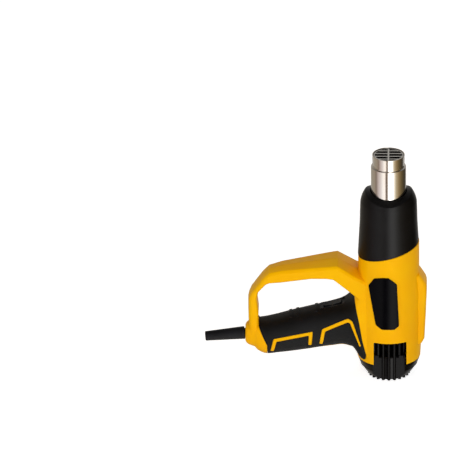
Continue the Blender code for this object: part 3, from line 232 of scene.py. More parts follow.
HANDLE_STATIONS = (
    (-143, 43.2, 8, 8, 2.5), (-141.6, 43.4, 10.2, 10.2, 2.5), (-138.5, 43.5, 12, 12.2, 2.5),
    (-134, 43.3, 13.4, 13.6, 2.5), (-130, 42, 15.8, 16, 2.5), (-122, 41, 17.8, 18.2, 2.5),
    (-110, 43, 18.6, 19, 2.5), (-98, 45.5, 19.7, 19.2, 2.5), (-84, 48.4, 20.5, 19.4, 2.5),
    (-69, 51.6, 21.1, 19.6, 2.5), (-56, 54.3, 21.8, 20.2, 2.5), (-47, 56.4, 22.6, 21, 2.5),
    (-40, 58, 25.2, 22, 2.7), (-35, 60, 29.6, 23, 3), (-30, 60.7, 36.1, 23.5, 5),
    (-20, 59.2, 41, 23.8, 12),
)
HANDLE_POINTS = 72
HANDLE_SUBSTEPS = 4
GRIP_T = 1.8
CORE_FIRST_STATION = 4
CORE_WALL = 2.2
GRIP_HEEL_EDGE = ((-129.3, 68), (-129.8, 55.3), (-121.3, 37), (-121.2, 15))
GRIP_LOW_EDGE = ((-80, 12), (-79.5, 30.6), (-62, 33.4), (-46, 36.4), (-38, 33.6), (-32.5, 27.6),
                 (-27, 20.8))
GRIP_BARREL_EDGE = ((-20.4, 21.4), (-26.2, 44.8), (-29.1, 63.1), (-32.2, 79.5), (-35.3, 96), (-39, 99))
ACCENT_FLUSH = 0.05
ACCENT_CORNER_R = 1.4
ACCENT_FOOT_Y = 9.0
ACCENTS = (
    ((-116.4, 30.2, 3.2), (-113.4, 43.2, 3.2), (-77.6, 51.1, 3.2), (-78.6, 37.6, 3.2)),
    ((-67.6, 38.8, 3.2), (-64.9, 54.8, 3.2), (-40.4, 66.6, 3.2), (-37.3, 65, 3), (-28.4, 38.9, 1.4)),
)
GUARD_STATIONS = (
    ((-20, 107), (-23, 84), 23), ((-34, 114.5), (-38.6, 97.5), 22.5),
    ((-51, 125), (-55, 110.5), 21), ((-61, 123.6), (-62, 111), 20),
    ((-77, 121.4), (-77.5, 110), 17.8), ((-106, 117), (-107.5, 104.3), 14.4),
    ((-119, 113.4), (-119, 102.6), 12.8), ((-125, 107.5), (-122.5, 100.8), 12.5),
    ((-136.5, 91.5), (-129.8, 92.6), 12.3), ((-139.3, 85), (-131.4, 85), 12.3),
    ((-139.4, 70), (-129.6, 70), 12.5), ((-139.2, 60), (-130, 60), 12.8),
    ((-138.8, 46), (-131.6, 46), 12.8),
)
GUARD_CHAMFER = 2.6
GUARD_INNER_CHAMFER = 1.4
GUARD_CROWN = 0.7
GUARD_EDGE = (0.7, 3, 20)
NOTCH_HALF_W = 16.3
NOTCH_SHIFT = 1.3
NOTCH_Z = (5.0, 46.0)
NOTCH_CORNER_R = 1.2
BOOT_START = Vector((-143.3, 0, 43.2))
BOOT_AXIS = (Vector((-183, 0, 39.2)) - BOOT_START).normalized()
BOOT_NECK_R = 4.6
BOOT_HOLE = (6, -16)
SWITCH_SEAT = Vector((-56, 0, 75.2))
SWITCH_TILT = math.radians(12.0)
SWITCH_BODY = (22.0, 11.0, 17.0)
SWITCH_FRAME = (25.0, 14.0, 1.2)
SWITCH_RISE = 0.4
FRAME_ROOM = (1.5, 8.0)
SCREWS = ((-33.5, 102.5, 19.5), (34, 90, 10.5), (33.2, 52, 10.5),
          (-112, 109.6, 11), (-95, 33.5, 11.5), (-131.5, 55, 9.5))
SCREW_HEAD_R = 2.8
SCREW_SIDES = 32
OUTSIDE_Y = 60.0


def new_piece(name, bm, sharp=30):
    """Makes an object in metres from a mesh drawn in millimetres, smooth but for its sharp edges."""
    bmesh.ops.remove_doubles(bm, verts=bm.verts, dist=WELD)
    bmesh.ops.recalc_face_normals(bm, faces=bm.faces)
    bmesh.ops.scale(bm, vec=(MM, MM, MM), verts=bm.verts)
    mesh = bpy.data.meshes.new(name)
    bm.to_mesh(mesh)
    bm.free()
    mesh.shade_smooth()
    mesh.set_sharp_from_angle(angle=math.radians(sharp))
    return placed(name, mesh)


def bake(piece):
    """Turns a piece's modifiers into its mesh."""
    graph = bpy.context.evaluated_depsgraph_get()
    mesh = bpy.data.meshes.new_from_object(piece.evaluated_get(graph))
    piece.modifiers.clear()
    piece.data = mesh
    return piece


def softened(piece, width, segments, least_angle):
    """Rounds the edges of a piece that are sharper than an angle in degrees."""
    edge = piece.modifiers.new("soft_edge", "BEVEL")
    edge.width = width * MM
    edge.segments = segments
    edge.limit_method = "ANGLE"
    edge.angle_limit = math.radians(least_angle)
    return bake(piece)


# A Boolean's result counts where its volume is possible. Any cut here leaves at least this share.
LEAST_LEFT = 0.02
VOLUME_SLACK = 0.001


def closed_volume(mesh):
    """The volume inside a mesh, or nothing where it isn't closed."""
    bm = bmesh.new()
    bm.from_mesh(mesh)
    open_edges = [e for e in bm.edges if len(e.link_faces) != 2]
    volume = 0.0 if open_edges else bm.calc_volume()
    bm.free()
    return volume


def cut(piece, tool, operation="DIFFERENCE"):
    """Joins, cuts or intersects two solids and removes the tool; a second solver helps where one fails."""
    before = piece.data
    own, other = closed_volume(before), closed_volume(tool.data)
    least = {"UNION": max(own, other), "DIFFERENCE": max(own - other, LEAST_LEFT * own),
             "INTERSECT": 0.0}[operation]
    most = {"UNION": own + other, "DIFFERENCE": own, "INTERSECT": min(own, other)}[operation]
    for solver in ("MANIFOLD", "EXACT"):
        piece.data = before
        change = piece.modifiers.new("cut", "BOOLEAN")
        change.operation = operation
        change.solver = solver
        change.object = tool
        bake(piece)
        volume = closed_volume(piece.data)
        if volume > 0 and least * (1 - VOLUME_SLACK) < volume < most * (1 + VOLUME_SLACK):
            break
    bpy.data.objects.remove(tool, do_unlink=True)
    return piece


def loft(name, rings):
    """A closed skin through rings with the same number of points."""
    bm = bmesh.new()
    rows = [[bm.verts.new(point) for point in ring] for ring in rings]
    count = len(rows[0])
    for near, far in zip(rows, rows[1:]):
        for i in range(count):
            j = (i + 1) % count
            bm.faces.new((near[i], near[j], far[j], far[i]))
    bm.faces.new(rows[0][::-1])
    bm.faces.new(rows[-1])
    return new_piece(name, bm)


def turned(name, profile, steps=TURN_STEPS, sharp=30):
    """A closed profile of radius and height turned about the barrel's axis."""
    bm = bmesh.new()
    points = [bm.verts.new((r, 0, z)) for r, z in profile]
    for i, point in enumerate(points):
        j = (i + 1) % len(points)
        if profile[i][0] > 0 or profile[j][0] > 0:
            bm.edges.new((point, points[j]))
    bmesh.ops.spin(bm, geom=bm.verts[:] + bm.edges[:], cent=(0, 0, 0), axis=(0, 0, 1),
                   angle=2 * math.pi, steps=steps, use_merge=True)
    bmesh.ops.remove_doubles(bm, verts=bm.verts, dist=WELD)
    poles = [v for v in bm.verts if abs(v.co.x) + abs(v.co.y) < 2 * WELD]
    bmesh.ops.dissolve_verts(bm, verts=poles)
    return new_piece(name, bm, sharp)


def cylinder(name, radius, low, high):
    """A plain round solid on the barrel's axis."""
    return turned(name, ((0, low), (radius, low), (radius, high), (0, high)))


def extruded(name, outline, low=-FAR, high=FAR, axis="Y"):
    """A flat outline, in its plane's own two coordinates, pushed along an axis."""
    bm = bmesh.new()
    spot = {"X": (2, 0, 1), "Y": (0, 2, 1), "Z": (0, 1, 2)}[axis]
    corners = [[(u, v, low)[i] for i in spot] for u, v in outline]
    face = bm.faces.new([bm.verts.new(corner) for corner in corners])
    pushed = bmesh.ops.extrude_face_region(bm, geom=[face])
    moved = [v for v in pushed["geom"] if isinstance(v, bmesh.types.BMVert)]
    bmesh.ops.translate(bm, vec=[(0, 0, high - low)[i] for i in spot], verts=moved)
    return new_piece(name, bm)


def block(name, corner, far_corner):
    """A box between any two opposite corners."""
    (x0, x1), (y0, y1), (z0, z1) = (sorted(ends) for ends in zip(corner, far_corner))
    return extruded(name, ((x0, z0), (x1, z0), (x1, z1), (x0, z1)), y0, y1)


def half_of(whole, name, side):
    """A copy of a piece without what lies beyond the mould line."""
    beyond = block("other_half", (-FAR, side * SPLIT, -FAR), (FAR, -side * FAR, FAR))
    return cut(placed(name, whole.data.copy()), beyond)


def rod(name, start, end, radius, sides=48):
    """A round bar between two points."""
    start, end = Vector(start), Vector(end)
    turn = Vector((0, 0, 1)).rotation_difference(end - start).to_matrix().to_4x4()
    bm = bmesh.new()
    bmesh.ops.create_cone(bm, cap_ends=True, segments=sides, radius1=radius, radius2=radius,
                          depth=(end - start).length, matrix=Matrix.Translation((start + end) / 2) @ turn)
    return new_piece(name, bm)


# The mitre of a very sharp corner is cut short, and a rounded corner takes less than half of a side.
LEAST_MITRE = 0.3
CORNER_SHARE = 0.45


def side_normals(points, closed):
    """The mitred left-hand normal at each point of a line."""
    normals = []
    for i, point in enumerate(points):
        here = Vector(point)
        before = Vector(points[i - 1]) if closed or i else None
        after = Vector(points[(i + 1) % len(points)]) if closed or i < len(points) - 1 else None
        ways = [(here - before).normalized()] if before is not None else []
        if after is not None:
            ways.append((after - here).normalized())
        sides = [Vector((-w.y, w.x)) for w in ways]
        mean = sum(sides, Vector((0, 0))).normalized()
        normals.append(mean / max(mean.dot(sides[0]), LEAST_MITRE))
    return normals


def grown(outline, amount):
    """A closed outline moved outwards by an amount."""
    area = sum(a[0] * b[1] - b[0] * a[1] for a, b in zip(outline, outline[1:] + outline[:1]))
    side = -amount if area > 0 else amount
    return [(u + n.x * side, v + n.y * side) for (u, v), n in zip(outline, side_normals(outline, True))]


def rounded(outline, radius, steps=5):
    """A closed outline with an arc-like curve at each corner."""
    result = []
    count = len(outline)
    for i in range(count):
        corner = Vector(outline[i])
        before = Vector(outline[i - 1]) - corner
        after = Vector(outline[(i + 1) % count]) - corner
        reach = min(radius, before.length * CORNER_SHARE, after.length * CORNER_SHARE)
        start = corner + before.normalized() * reach
        end = corner + after.normalized() * reach
        for k in range(steps + 1):
            t = k / steps
            point = start * (1 - t) ** 2 + corner * 2 * t * (1 - t) + end * t * t
            result.append((point.x, point.y))
    return result


def ribbon(line, growth):
    """The closed outline of a band along a line with a width at each point."""
    left, right = [], []
    for (u, v, width), n in zip(line, side_normals([point[:2] for point in line], False)):
        half = width / 2 + growth
        left.append((u + n.x * half, v + n.y * half))
        right.append((u - n.x * half, v - n.y * half))
    return left + right[::-1]


def smooth_stations(stations, substeps):
    """Catmull-Rom steps between rows of numbers."""
    rows = [stations[0], *stations, stations[-1]]
    result = []
    for a, b, c, d in zip(rows, rows[1:], rows[2:], rows[3:]):
        for k in range(substeps):
            t = k / substeps
            result.append(tuple(
                0.5 * (2 * q + (r - p) * t + (2 * p - 5 * q + 4 * r - s) * t * t
                       + (3 * q - p - 3 * r + s) * t ** 3)
                for p, q, r, s in zip(a, b, c, d)))
    result.append(stations[-1])
    return result


def handle_ring(x, centre, height, width, squareness, inset):
    """A section across the handle: an upright oval, fuller towards the barrel."""
    power = 2.0 / squareness
    ring = []
    for i in range(HANDLE_POINTS):
        angle = 2 * math.pi * (i + 0.5) / HANDLE_POINTS
        c, s = math.cos(angle), math.sin(angle)
        ring.append((x, (width - inset) * math.copysign(abs(c) ** power, c),
                     centre + (height - inset) * math.copysign(abs(s) ** power, s)))
    return ring


def handle_solid(name, inset=0, first=0):
    stations = smooth_stations(HANDLE_STATIONS, HANDLE_SUBSTEPS)[first * HANDLE_SUBSTEPS:]
    return loft(name, [handle_ring(*station, inset) for station in stations])


def loop_guard():
    """A band with a crowned outer face and chamfered edges, wide at the barrel."""
    rings = []
    for outer, inner, depth in GUARD_STATIONS:
        outer, inner = Vector(outer), Vector(inner)
        across = (inner - outer).normalized()
        thick = (inner - outer).length
        big, small = GUARD_CHAMFER, GUARD_INNER_CHAMFER
        shape = ((0, -(depth - big)), (-GUARD_CROWN, 0), (0, depth - big), (big, depth),
                 (thick - small, depth), (thick, depth - small), (thick, -(depth - small)),
                 (thick - small, -depth), (big, -depth))
        rings.append([((outer + across * u).x, y, (outer + across * u).y) for u, y in shape])
    return softened(loft("guard", rings), *GUARD_EDGE)


def accent_bands(name, growth):
    """The side view of both accent ribs, with softly rounded corners, as one tool."""
    bands = [extruded(name, rounded(ribbon(line, growth), ACCENT_CORNER_R)) for line in ACCENTS]
    return cut(*bands, "UNION")


def at_switch(piece):
    """Puts a piece drawn round the origin at the switch's seat in the grip."""
    piece.data.transform(Matrix.Translation(SWITCH_SEAT * MM) @ Matrix.Rotation(-SWITCH_TILT, 4, "Y"))
    return piece


def cover_edge(name, above, drop=0):
    """Everything above or under the slanted joint of barrel and cover, which may be set lower."""
    low, high = (COVER_EDGE_Z + COVER_EDGE_SLOPE * x - drop for x in (-FAR, FAR))
    far = FAR if above else -FAR
    return extruded(name, ((-FAR, low), (FAR, high), (FAR, far), (-FAR, far)))


def clamshell_form():
    """The closed housing before it is split."""
    body = turned("barrel", ((0, REAR_EDGE_Z), *BARREL_PROFILE, (0, BARREL_PROFILE[-1][1])))
    spine = extruded("spine", SPINE_OUTLINE, -SPINE_HALF_WIDTH, SPINE_HALF_WIDTH)
    cut(body, softened(spine, *SPINE_EDGE), "UNION")
    cut(body, cover_edge("above", True))
    skin = handle_solid("skin")
    cut(skin, extruded("zone", [*GRIP_HEEL_EDGE, *GRIP_LOW_EDGE, *GRIP_BARREL_EDGE]))
    cut(skin, handle_solid("core", GRIP_T + GAP, CORE_FIRST_STATION), "UNION")
    ribs = cut(accent_bands("ribs", 0), handle_solid("rib_skin", -ACCENT_FLUSH), "INTERSECT")
    cut(ribs, block("rib_gap", (-FAR, -ACCENT_FOOT_Y, 0), (0, ACCENT_FOOT_Y, FAR)))
    for part in (cut(skin, ribs, "UNION"), loop_guard()):
        cut(body, part, "UNION")
    half = UNDER_HALF
    return cut(body, block("under", (-half, -half, -FAR), (half, half, REAR_EDGE_Z)))


def scale_of(width):
    """The scale of a pattern whose features have a width in millimetres."""
    return 1 / (width * MM)


def surface(name):
    """An empty material, the function that adds its nodes, and the piece's own coordinates."""
    mat = bpy.data.materials.new(name)
    add = emptied(mat)
    return mat, add, add("TexCoord").outputs["Object"]


def ended(mat, **looks):
    """Ends a material in one physical surface."""
    shader = add_node(mat.node_tree, "BsdfPrincipled", **looks)
    add_node(mat.node_tree, "OutputMaterial", Surface=shader)
    return mat


def moulding(name, tones, cloud, grain, relief, skin, edge, **shine):
    """A moulded skin: two close tones in slow clouds, a grain as bump and softly rounded edges.
    The cloud has a width in millimetres and a detail, and the grain a kind, a width and settings. Real
    grains are about 0.1 mm wide, too fine to show, so each is drawn as coarse as it needs to be."""
    mat, add, place = surface(name)
    slow = add("TexNoise", Vector=place, Scale=scale_of(cloud[0]), Detail=cloud[1])
    tint = add("ValToRGB", Fac=slow)
    for stop, (position, tone) in zip(tint.color_ramp.elements, tones):
        stop.position = position
        stop.color = linear(tone)
    kind, width, settings = grain
    fine = add(kind, Vector=place, Scale=scale_of(width), **settings)
    soft = add("Bevel", samples=4, Radius=edge * MM)
    bump = add("Bump", Height=fine, Normal=soft, **relief)
    rough = add("MapRange", Value=slow, To_Min=skin[0], To_Max=skin[1])
    return ended(mat, Base_Color=tint, Roughness=rough, Normal=bump, **shine)


def dress(piece, mat, body, node):
    """Gives a finished piece its material, body, CAD node and material slot."""
    piece.data.set_sharp_from_angle(angle=SHARP_EDGE)
    piece.data.materials.clear()
    piece.data.materials.append(mat)
    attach(piece, body)
    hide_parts(node)


def shell_half(name, side):
    """Half of the form, hollowed, with the openings for the cap, the boot, the switch and the screws."""
    shell = half_of(form, name, side)
    cut(shell, cylinder("room", CAVITY_R, *CAVITY_Z))
    cut(shell, handle_solid("hollow", GRIP_T + GAP + CORE_WALL, CORE_FIRST_STATION))
    left, right = NOTCH_SHIFT - NOTCH_HALF_W, NOTCH_SHIFT + NOTCH_HALF_W
    low, high = NOTCH_Z
    notch = ((left, low), (right, low), (right, high), (left, high))
    cut(shell, extruded("notch", rounded(notch, NOTCH_CORNER_R)))
    ends = (BOOT_START + BOOT_AXIS * reach for reach in BOOT_HOLE)
    cut(shell, rod("boot_way", *ends, BOOT_NECK_R + GAP))
    half_l, half_w, depth = SWITCH_BODY[0] / 2 + GAP, SWITCH_BODY[1] / 2 + GAP, SWITCH_BODY[2] / 2
    cut(shell, at_switch(block("switch_way", (-half_l, -half_w, -depth), (half_l, half_w, depth))))
    beside, above = FRAME_ROOM
    half_l, half_w = SWITCH_FRAME[0] / 2 + beside, SWITCH_FRAME[1] / 2 + beside
    low, high = SWITCH_RISE - SWITCH_FRAME[2] - GAP, SWITCH_RISE + above
    cut(shell, at_switch(block("frame_seat", (-half_l, -half_w, low), (half_l, half_w, high))))
    for x, z, seat in SCREWS if side > 0 else ():
        cut(shell, rod("recess", (x, seat, z), (x, OUTSIDE_Y, z), SCREW_HEAD_R + GAP, SCREW_SIDES))
    return shell


# Injection-moulded ABS in a warm yellow: a satin skin with faint flow marks and a fine spark texture, so
# highlights are broad and soft.
ABS_YELLOW = moulding("moulded_abs_yellow", ((0.35, "FFB700"), (0.7, "FFBF00")), (36.0, 3.0),
                      ("TexNoise", 0.45, {"Detail": 2.0}),
                      {"Strength": 0.12, "Distance": 0.1 * MM}, (0.34, 0.44), 0.5, Specular_IOR_Level=0.12)
form = clamshell_form()
dress(shell_half("left_shell", -1), ABS_YELLOW, "housing", "left_housing")
dress(shell_half("right_shell", 1), ABS_YELLOW, "housing", "right_housing")
bpy.data.objects.remove(form, do_unlink=True)

# Nozzle cover
# Heat guard of matt glass-filled nylon, one moulding with a slanted foot and a saddle-shaped mouth.
# Its lip slides inside the shells, which clamp it; a shallow step runs along its foot.
COVER_FOOT = ((30.9, 100), (30.9, 128))
COVER_CURVE = ((28.7, 168), (28.2, 186.5), (27.6, 191), (26.4, 195), (24.2, 199.3), (21.5, 202.4),
               (19.6, 204))
COVER_CURVE_STEPS = 4
COVER_ROOM = ((0, 90), (28.3, 90), (28.3, 128), (26.1, 168), (25.6, 186.5), (22.4, 192.5),
              (18.4, 194), (18.4, 220), (0, 220))
COVER_HOLE_R = 18.4
COVER_STEP = 0.35
COVER_STEP_H = 1.6
LIP_Z = (105, 158)
LIP_DROP = 7.0
SADDLE_TOP_Z = 200.3
SADDLE_DROP = 3.3
SADDLE_REACH = 28.5
SADDLE_STEPS = 48


def heat_cover():
    curve = smooth_stations(COVER_CURVE, COVER_CURVE_STEPS)
    cover = turned("heat_cover", ((0, COVER_FOOT[0][1]), *COVER_FOOT, *curve, (0, COVER_CURVE[-1][1])))
    cut(cover, cover_edge("below", False, -GAP - COVER_STEP_H))
    band_foot = [(r - COVER_STEP, z) for r, z in COVER_FOOT]
    band = turned("band", ((0, band_foot[0][1]), *band_foot, COVER_CURVE[0], (0, COVER_CURVE[0][1])))
    lip = cylinder("lip", CAVITY_R - GAP, *LIP_Z)
    cut(cover, cut(band, cover_edge("below", False, -GAP)), "UNION")
    cut(cover, cut(lip, cover_edge("below", False, LIP_DROP - GAP)), "UNION")
    cut(cover, turned("cover_room", COVER_ROOM))
    crest = [(SADDLE_REACH, FAR), (-SADDLE_REACH, FAR)]
    for i in range(SADDLE_STEPS + 1):
        y = SADDLE_REACH * (2 * i / SADDLE_STEPS - 1)
        crest.append((y, SADDLE_TOP_Z - SADDLE_DROP * (y / COVER_HOLE_R) ** 2))
    return cut(cover, extruded("saddle", crest, axis="X"))


def moulded_black(name, low, high, roughness, grain, grain_depth, edge=0.35, shine=0.18):
    """A dark moulded plastic with an etched grain of a width in millimetres."""
    return moulding(name, ((0.35, low), (0.68, high)), (22.0, 4.0),
                    ("TexNoise", grain, {"Detail": 3.0}),
                    {"Strength": grain_depth, "Distance": 0.2 * MM},
                    (roughness - 0.05, roughness + 0.06), edge, Specular_IOR_Level=shine)


# Glass-filled nylon from an etched mould: almost black, with a coarse grain that dulls its highlights.
NYLON = moulded_black("glass_filled_nylon_matt", "070708", "0D0D0F", 0.34, 0.67, 0.35)
dress(heat_cover(), NYLON, "housing", "nozzle_cover")

# Nozzle tube and grille
# Drawn stainless tube, stepped in at the shoulder and rolled at its rim, with a flange inside the duct.
# The guard in its mouth is stamped from the same sheet: a ring, four bars and one bar across their middles.
TUBE_R = 17.5
TUBE_WALL = 1.0
TIP_R = 16.15
TIP_BORE_R = TIP_R - TUBE_WALL
SHOULDER_Z = 227.0
RIM_Z = 239.5
ROLLED_RIM = ((-0.15, -0.05), (0, -0.25), (0, -0.9), (-0.12, -1.2))
DRAWN_STEP_IN = ((-0.12, 1.6), (-0.35, 1.0), (-0.3, 0.5), (0.3, 0.15))
DRAWN_STEP_OUT = ((-0.5, 0), (-0.14, -0.16), (0, -0.6))
BORE_STEP_DROPS = (1.2, 0.6)
RIM_FLARE = (0.25, 0.3)
FLANGE_Z = (132.0, 133.5)
FLANGE_R = 24.0
FLANGE_FILLET = 0.4
# The painted shade of the bore begins this far below the rim.
PAINTED_SHADE_BELOW_RIM = 0.6
HEAT_TINT_Z = (195, 240)
HEAT_CLOUD = 14.0
DRAWING_LINE = (17.0, 0.19)
GRILLE_DROP = 0.6
GRILLE_T = 1.2
GRILLE_BAR = 1.6
GRILLE_PITCH = 6.4
GRILLE_BARS = 4
GRILLE_BAR_INSET = 0.5
GRILLE_CROSS_RISE = 0.1
GRILLE_RING_R = TIP_BORE_R - GAP
GRILLE_RING_T = 1.1
GRILLE_RING_SKIRT = 2.5
GRILLE_RING_EDGE = 0.2
GRILLE_RING_STEPS = 96


def steel_tube():
    """The whole tube as one closed profile, outside from the rim down and inside back up."""
    bore_r = TUBE_R - TUBE_WALL
    low, high = FLANGE_Z
    step_low, step_high = (SHOULDER_Z - drop for drop in BORE_STEP_DROPS)
    flare, flare_h = RIM_FLARE
    profile = [(TIP_R + r, RIM_Z + z) for r, z in ROLLED_RIM]
    profile += [(TIP_R + r, SHOULDER_Z + z) for r, z in DRAWN_STEP_IN]
    profile += [(TUBE_R + r, SHOULDER_Z + z) for r, z in DRAWN_STEP_OUT]
    profile += [(TUBE_R, high + FLANGE_FILLET), (TUBE_R + FLANGE_FILLET, high), (FLANGE_R, high),
                (FLANGE_R, low), (bore_r, low), (bore_r, step_low), (TIP_BORE_R, step_high),
                (TIP_BORE_R, RIM_Z - flare_h), (TIP_BORE_R + flare, RIM_Z)]
    return turned("steel_tube", profile, sharp=25)


def brushed_steel(name, tint_low, tint_high, roughness, heat):
    """Bare metal: fine drawing lines round the tube and a straw heat tint towards the mouth.
    Real lines are about 0.03 mm apart, too fine to show, so they are drawn wider."""
    mat, add, place = surface(name)
    along, across = (scale_of(size) for size in DRAWING_LINE)
    squash = add("Mapping", Vector=place, Scale=(along, along, across))
    lines = add("TexNoise", Vector=squash, Scale=1.0, Detail=2.0)
    height = add("SeparateXYZ", _0=place).outputs["Z"]
    low, high = HEAT_TINT_Z
    warm = add("MapRange", Value=height, From_Min=low * MM, From_Max=high * MM)
    cloud = add("TexNoise", Vector=place, Scale=scale_of(HEAT_CLOUD), Detail=3.0)
    share = add("Math", operation="MULTIPLY", _0=warm, _1=cloud)
    amount = add("Math", operation="MULTIPLY", _0=share, _1=heat)
    tint = add("Mix", data_type="RGBA", _0=amount, _6=linear(tint_low), _7=linear(tint_high))
    rough = add("MapRange", Value=lines, To_Min=roughness - 0.05, To_Max=roughness + 0.07)
    bump = add("Bump", Height=lines, Strength=0.08, Distance=0.05 * MM)
    return ended(mat, Base_Color=tint.outputs[2], Metallic=1.0, Roughness=rough, Normal=bump)


SOCKET_KINDS = {int: "NodeSocketInt", float: "NodeSocketFloat", bpy.types.Object: "NodeSocketObject"}


def instancer(name, inputs):
    """A Geometry Nodes tree, the function that adds its nodes, and what its named inputs give."""
    tree = bpy.data.node_groups.new(name, "GeometryNodeTree")
    tree.interface.new_socket("Geometry", in_out="OUTPUT", socket_type="NodeSocketGeometry")
    for label, value in inputs.items():
        socket = tree.interface.new_socket(label, in_out="INPUT", socket_type=SOCKET_KINDS[type(value)])
        socket.default_value = value
    add = functools.partial(add_node, tree)
    return tree, add, add("NodeGroupInput").outputs


def realised(name, tree, mat, *parts):
    """Joins nodes' geometries, ends the tree in real mesh with its material, and makes it a plain piece."""
    joined = add_node(tree, "GeometryNodeJoinGeometry")
    for part in parts:
        tree.links.new(part.outputs[0], joined.inputs[0])
    real = add_node(tree, "GeometryNodeRealizeInstances", _0=joined)
    painted = add_node(tree, "GeometryNodeSetMaterial", _0=real, Material=mat)
    add_node(tree, "NodeGroupOutput", _0=painted)
    piece = placed(name, bpy.data.meshes.new(name))
    change = piece.modifiers.new("nodes", "NODES")
    change.node_group = tree
    for item in tree.interface.items_tree:
        if item.item_type == "SOCKET" and item.in_out == "INPUT":
            change[item.identifier] = item.default_value
    return bake(piece)


def grille_bars(mat):
    """Bars side by side, each as long as the ring lets it be, and the bar over their middles."""
    tree, add, given = instancer("grille_bars", {
        "Bars": GRILLE_BARS, "Pitch": GRILLE_PITCH * MM, "Bar Width": GRILLE_BAR * MM,
        "Ring Radius": (GRILLE_RING_R - GRILLE_BAR_INSET) * MM})
    step = add("CombineXYZ", Y=given["Pitch"])
    row = add("GeometryNodeMeshLine", mode="OFFSET", Count=given["Bars"], Offset=step)
    gaps = add("Math", operation="SUBTRACT", _0=given["Bars"], _1=1.0)
    span = add("Math", operation="MULTIPLY", _0=gaps, _1=given["Pitch"])
    half = add("Math", operation="MULTIPLY", _0=span, _1=-0.5)
    middle = RIM_Z - GRILLE_DROP - GRILLE_T / 2
    start = add("CombineXYZ", Y=half, Z=middle * MM)
    seats = add("GeometryNodeSetPosition", Geometry=row, Offset=start)
    across = add("SeparateXYZ", _0=add("GeometryNodeInputPosition")).outputs["Y"]
    square = add("Math", operation="POWER", _0=across, _1=2.0)
    ring = add("Math", operation="POWER", _0=given["Ring Radius"], _1=2.0)
    rest = add("Math", operation="SUBTRACT", _0=ring, _1=square)
    reach = add("Math", operation="SQRT", _0=rest)
    length = add("Math", operation="MULTIPLY", _0=reach, _1=2.0 / MM)
    size = add("CombineXYZ", X=length, Y=1.0, Z=1.0)
    bar_t = GRILLE_T - 2 * GRILLE_CROSS_RISE
    section = add("CombineXYZ", X=MM, Y=given["Bar Width"], Z=bar_t * MM)
    bar = add("GeometryNodeMeshCube", Size=section)
    bars = add("GeometryNodeInstanceOnPoints", Points=seats, Instance=bar, Scale=size)
    long_way = add("Math", operation="MULTIPLY", _0=given["Ring Radius"], _1=2.0)
    cross_size = add("CombineXYZ", X=given["Bar Width"], Y=long_way, Z=GRILLE_T * MM)
    cross = add("GeometryNodeTransform", Geometry=add("GeometryNodeMeshCube", Size=cross_size),
                Translation=(0, 0, (middle + GRILLE_CROSS_RISE) * MM))
    return realised("grille_bars", tree, mat, bars, cross)


def grille_ring():
    """The guard's ring, with a skirt that stands inside the tube."""
    outer, inner = GRILLE_RING_R, GRILLE_RING_R - GRILLE_RING_T
    top = RIM_Z - GRILLE_DROP
    low = top - GRILLE_T - GRILLE_RING_SKIRT
    edge = GRILLE_RING_EDGE
    return turned("grille_ring", ((outer, top - edge), (outer, low), (inner, low), (inner, top),
                                  (outer - edge, top)), GRILLE_RING_STEPS)


# Drawn stainless steel is bright with a satin line to it. The stamped guard has a duller, whiter face.
# The bore is drawn near black as painted shade, so the mouth looks deep.
STAINLESS = brushed_steel("drawn_stainless", "EEEBE7", "D6BC98", 0.12, 0.3)
STAMPED = brushed_steel("stamped_stainless", "F2F1EE", "E0D6C4", 0.26, 0.2)
BORE_PAINTED_SHADE = brushed_steel("stainless_bore_painted_shade", "2C2620", "1E1A16", 0.45, 0.6)
tube = steel_tube()
dress(tube, STAINLESS, "housing", "nozzle_tube")
tube.data.materials.append(BORE_PAINTED_SHADE)
# Bore faces below the rim take the near-black steel: painted shade inside the mouth.
for face in tube.data.polygons:
    is_bore = face.normal.to_2d().dot(face.center.to_2d()) < 0
    if is_bore and face.center.z < (RIM_Z - PAINTED_SHADE_BELOW_RIM) * MM:
        face.material_index = 1
dress(grille_ring(), STAMPED, "housing", "nozzle_grille")
dress(grille_bars(STAMPED), STAMPED, "housing", "nozzle_grille")

# Rear intake cap
# Polypropylene cap that closes the barrel and is the foot the tool stands on.
# Its ribbed drum shows in the notches of the shells; air enters between the ribs and through the floor.
CAP_FOOT = ((18.8, 0), (19.6, 0.3), (20.5, 1.2))
CAP_FLANK = ((23.6, 5), (26.8, 10), (29.5, 15), (31.3, 20.2))
CAP_WALL = 2.4
CAP_OPEN_Z = 80.0
SPIGOT_Z = (12, 26.5)
POCKET_RAISE = 1.0
POCKET_CLEARANCE = 0.8
DRUM_R = 20.0
DRUM_TOP_Z = 45.0
DRUM_RIM_H = 2.2
DRUM_RIM_RISE = 0.35
DRUM_RIM_EDGE = 0.4
DRUM_RIM_OVERLAP = 0.5
DRUM_SINK = 1.2
RIB_COUNT = 22
RIB_R = 1.3
RIB_STEPS = 14
RIB_FULLNESS = 0.6
SLOT_Z = (24.0, 42.0)
SLOT_R = (15.6, 24.0)
SLOT_W = 2.6
FLOOR_T = 2.5
FLOOR_SLOT_COUNT = 12
FLOOR_SLOT_Z = (-2.0, 4.5)
FLOOR_SLOT_R = (7.5, 16.0)
FLOOR_SLOT_W = 2.4
FOOT_GROOVE_Z = (-2.0, 1.6)
FOOT_GROOVE_R = (18.4, 24.0)


def drum_outline():
    """The drum seen from below: rounded ribs with flat valleys between them."""
    outline = []
    for i in range(RIB_COUNT * RIB_STEPS):
        angle = 2 * math.pi * i / (RIB_COUNT * RIB_STEPS)
        wave = max(math.cos(angle * RIB_COUNT + math.pi), 0) ** RIB_FULLNESS
        radius = DRUM_R + RIB_R * wave
        outline.append((radius * math.cos(angle), radius * math.sin(angle)))
    return outline


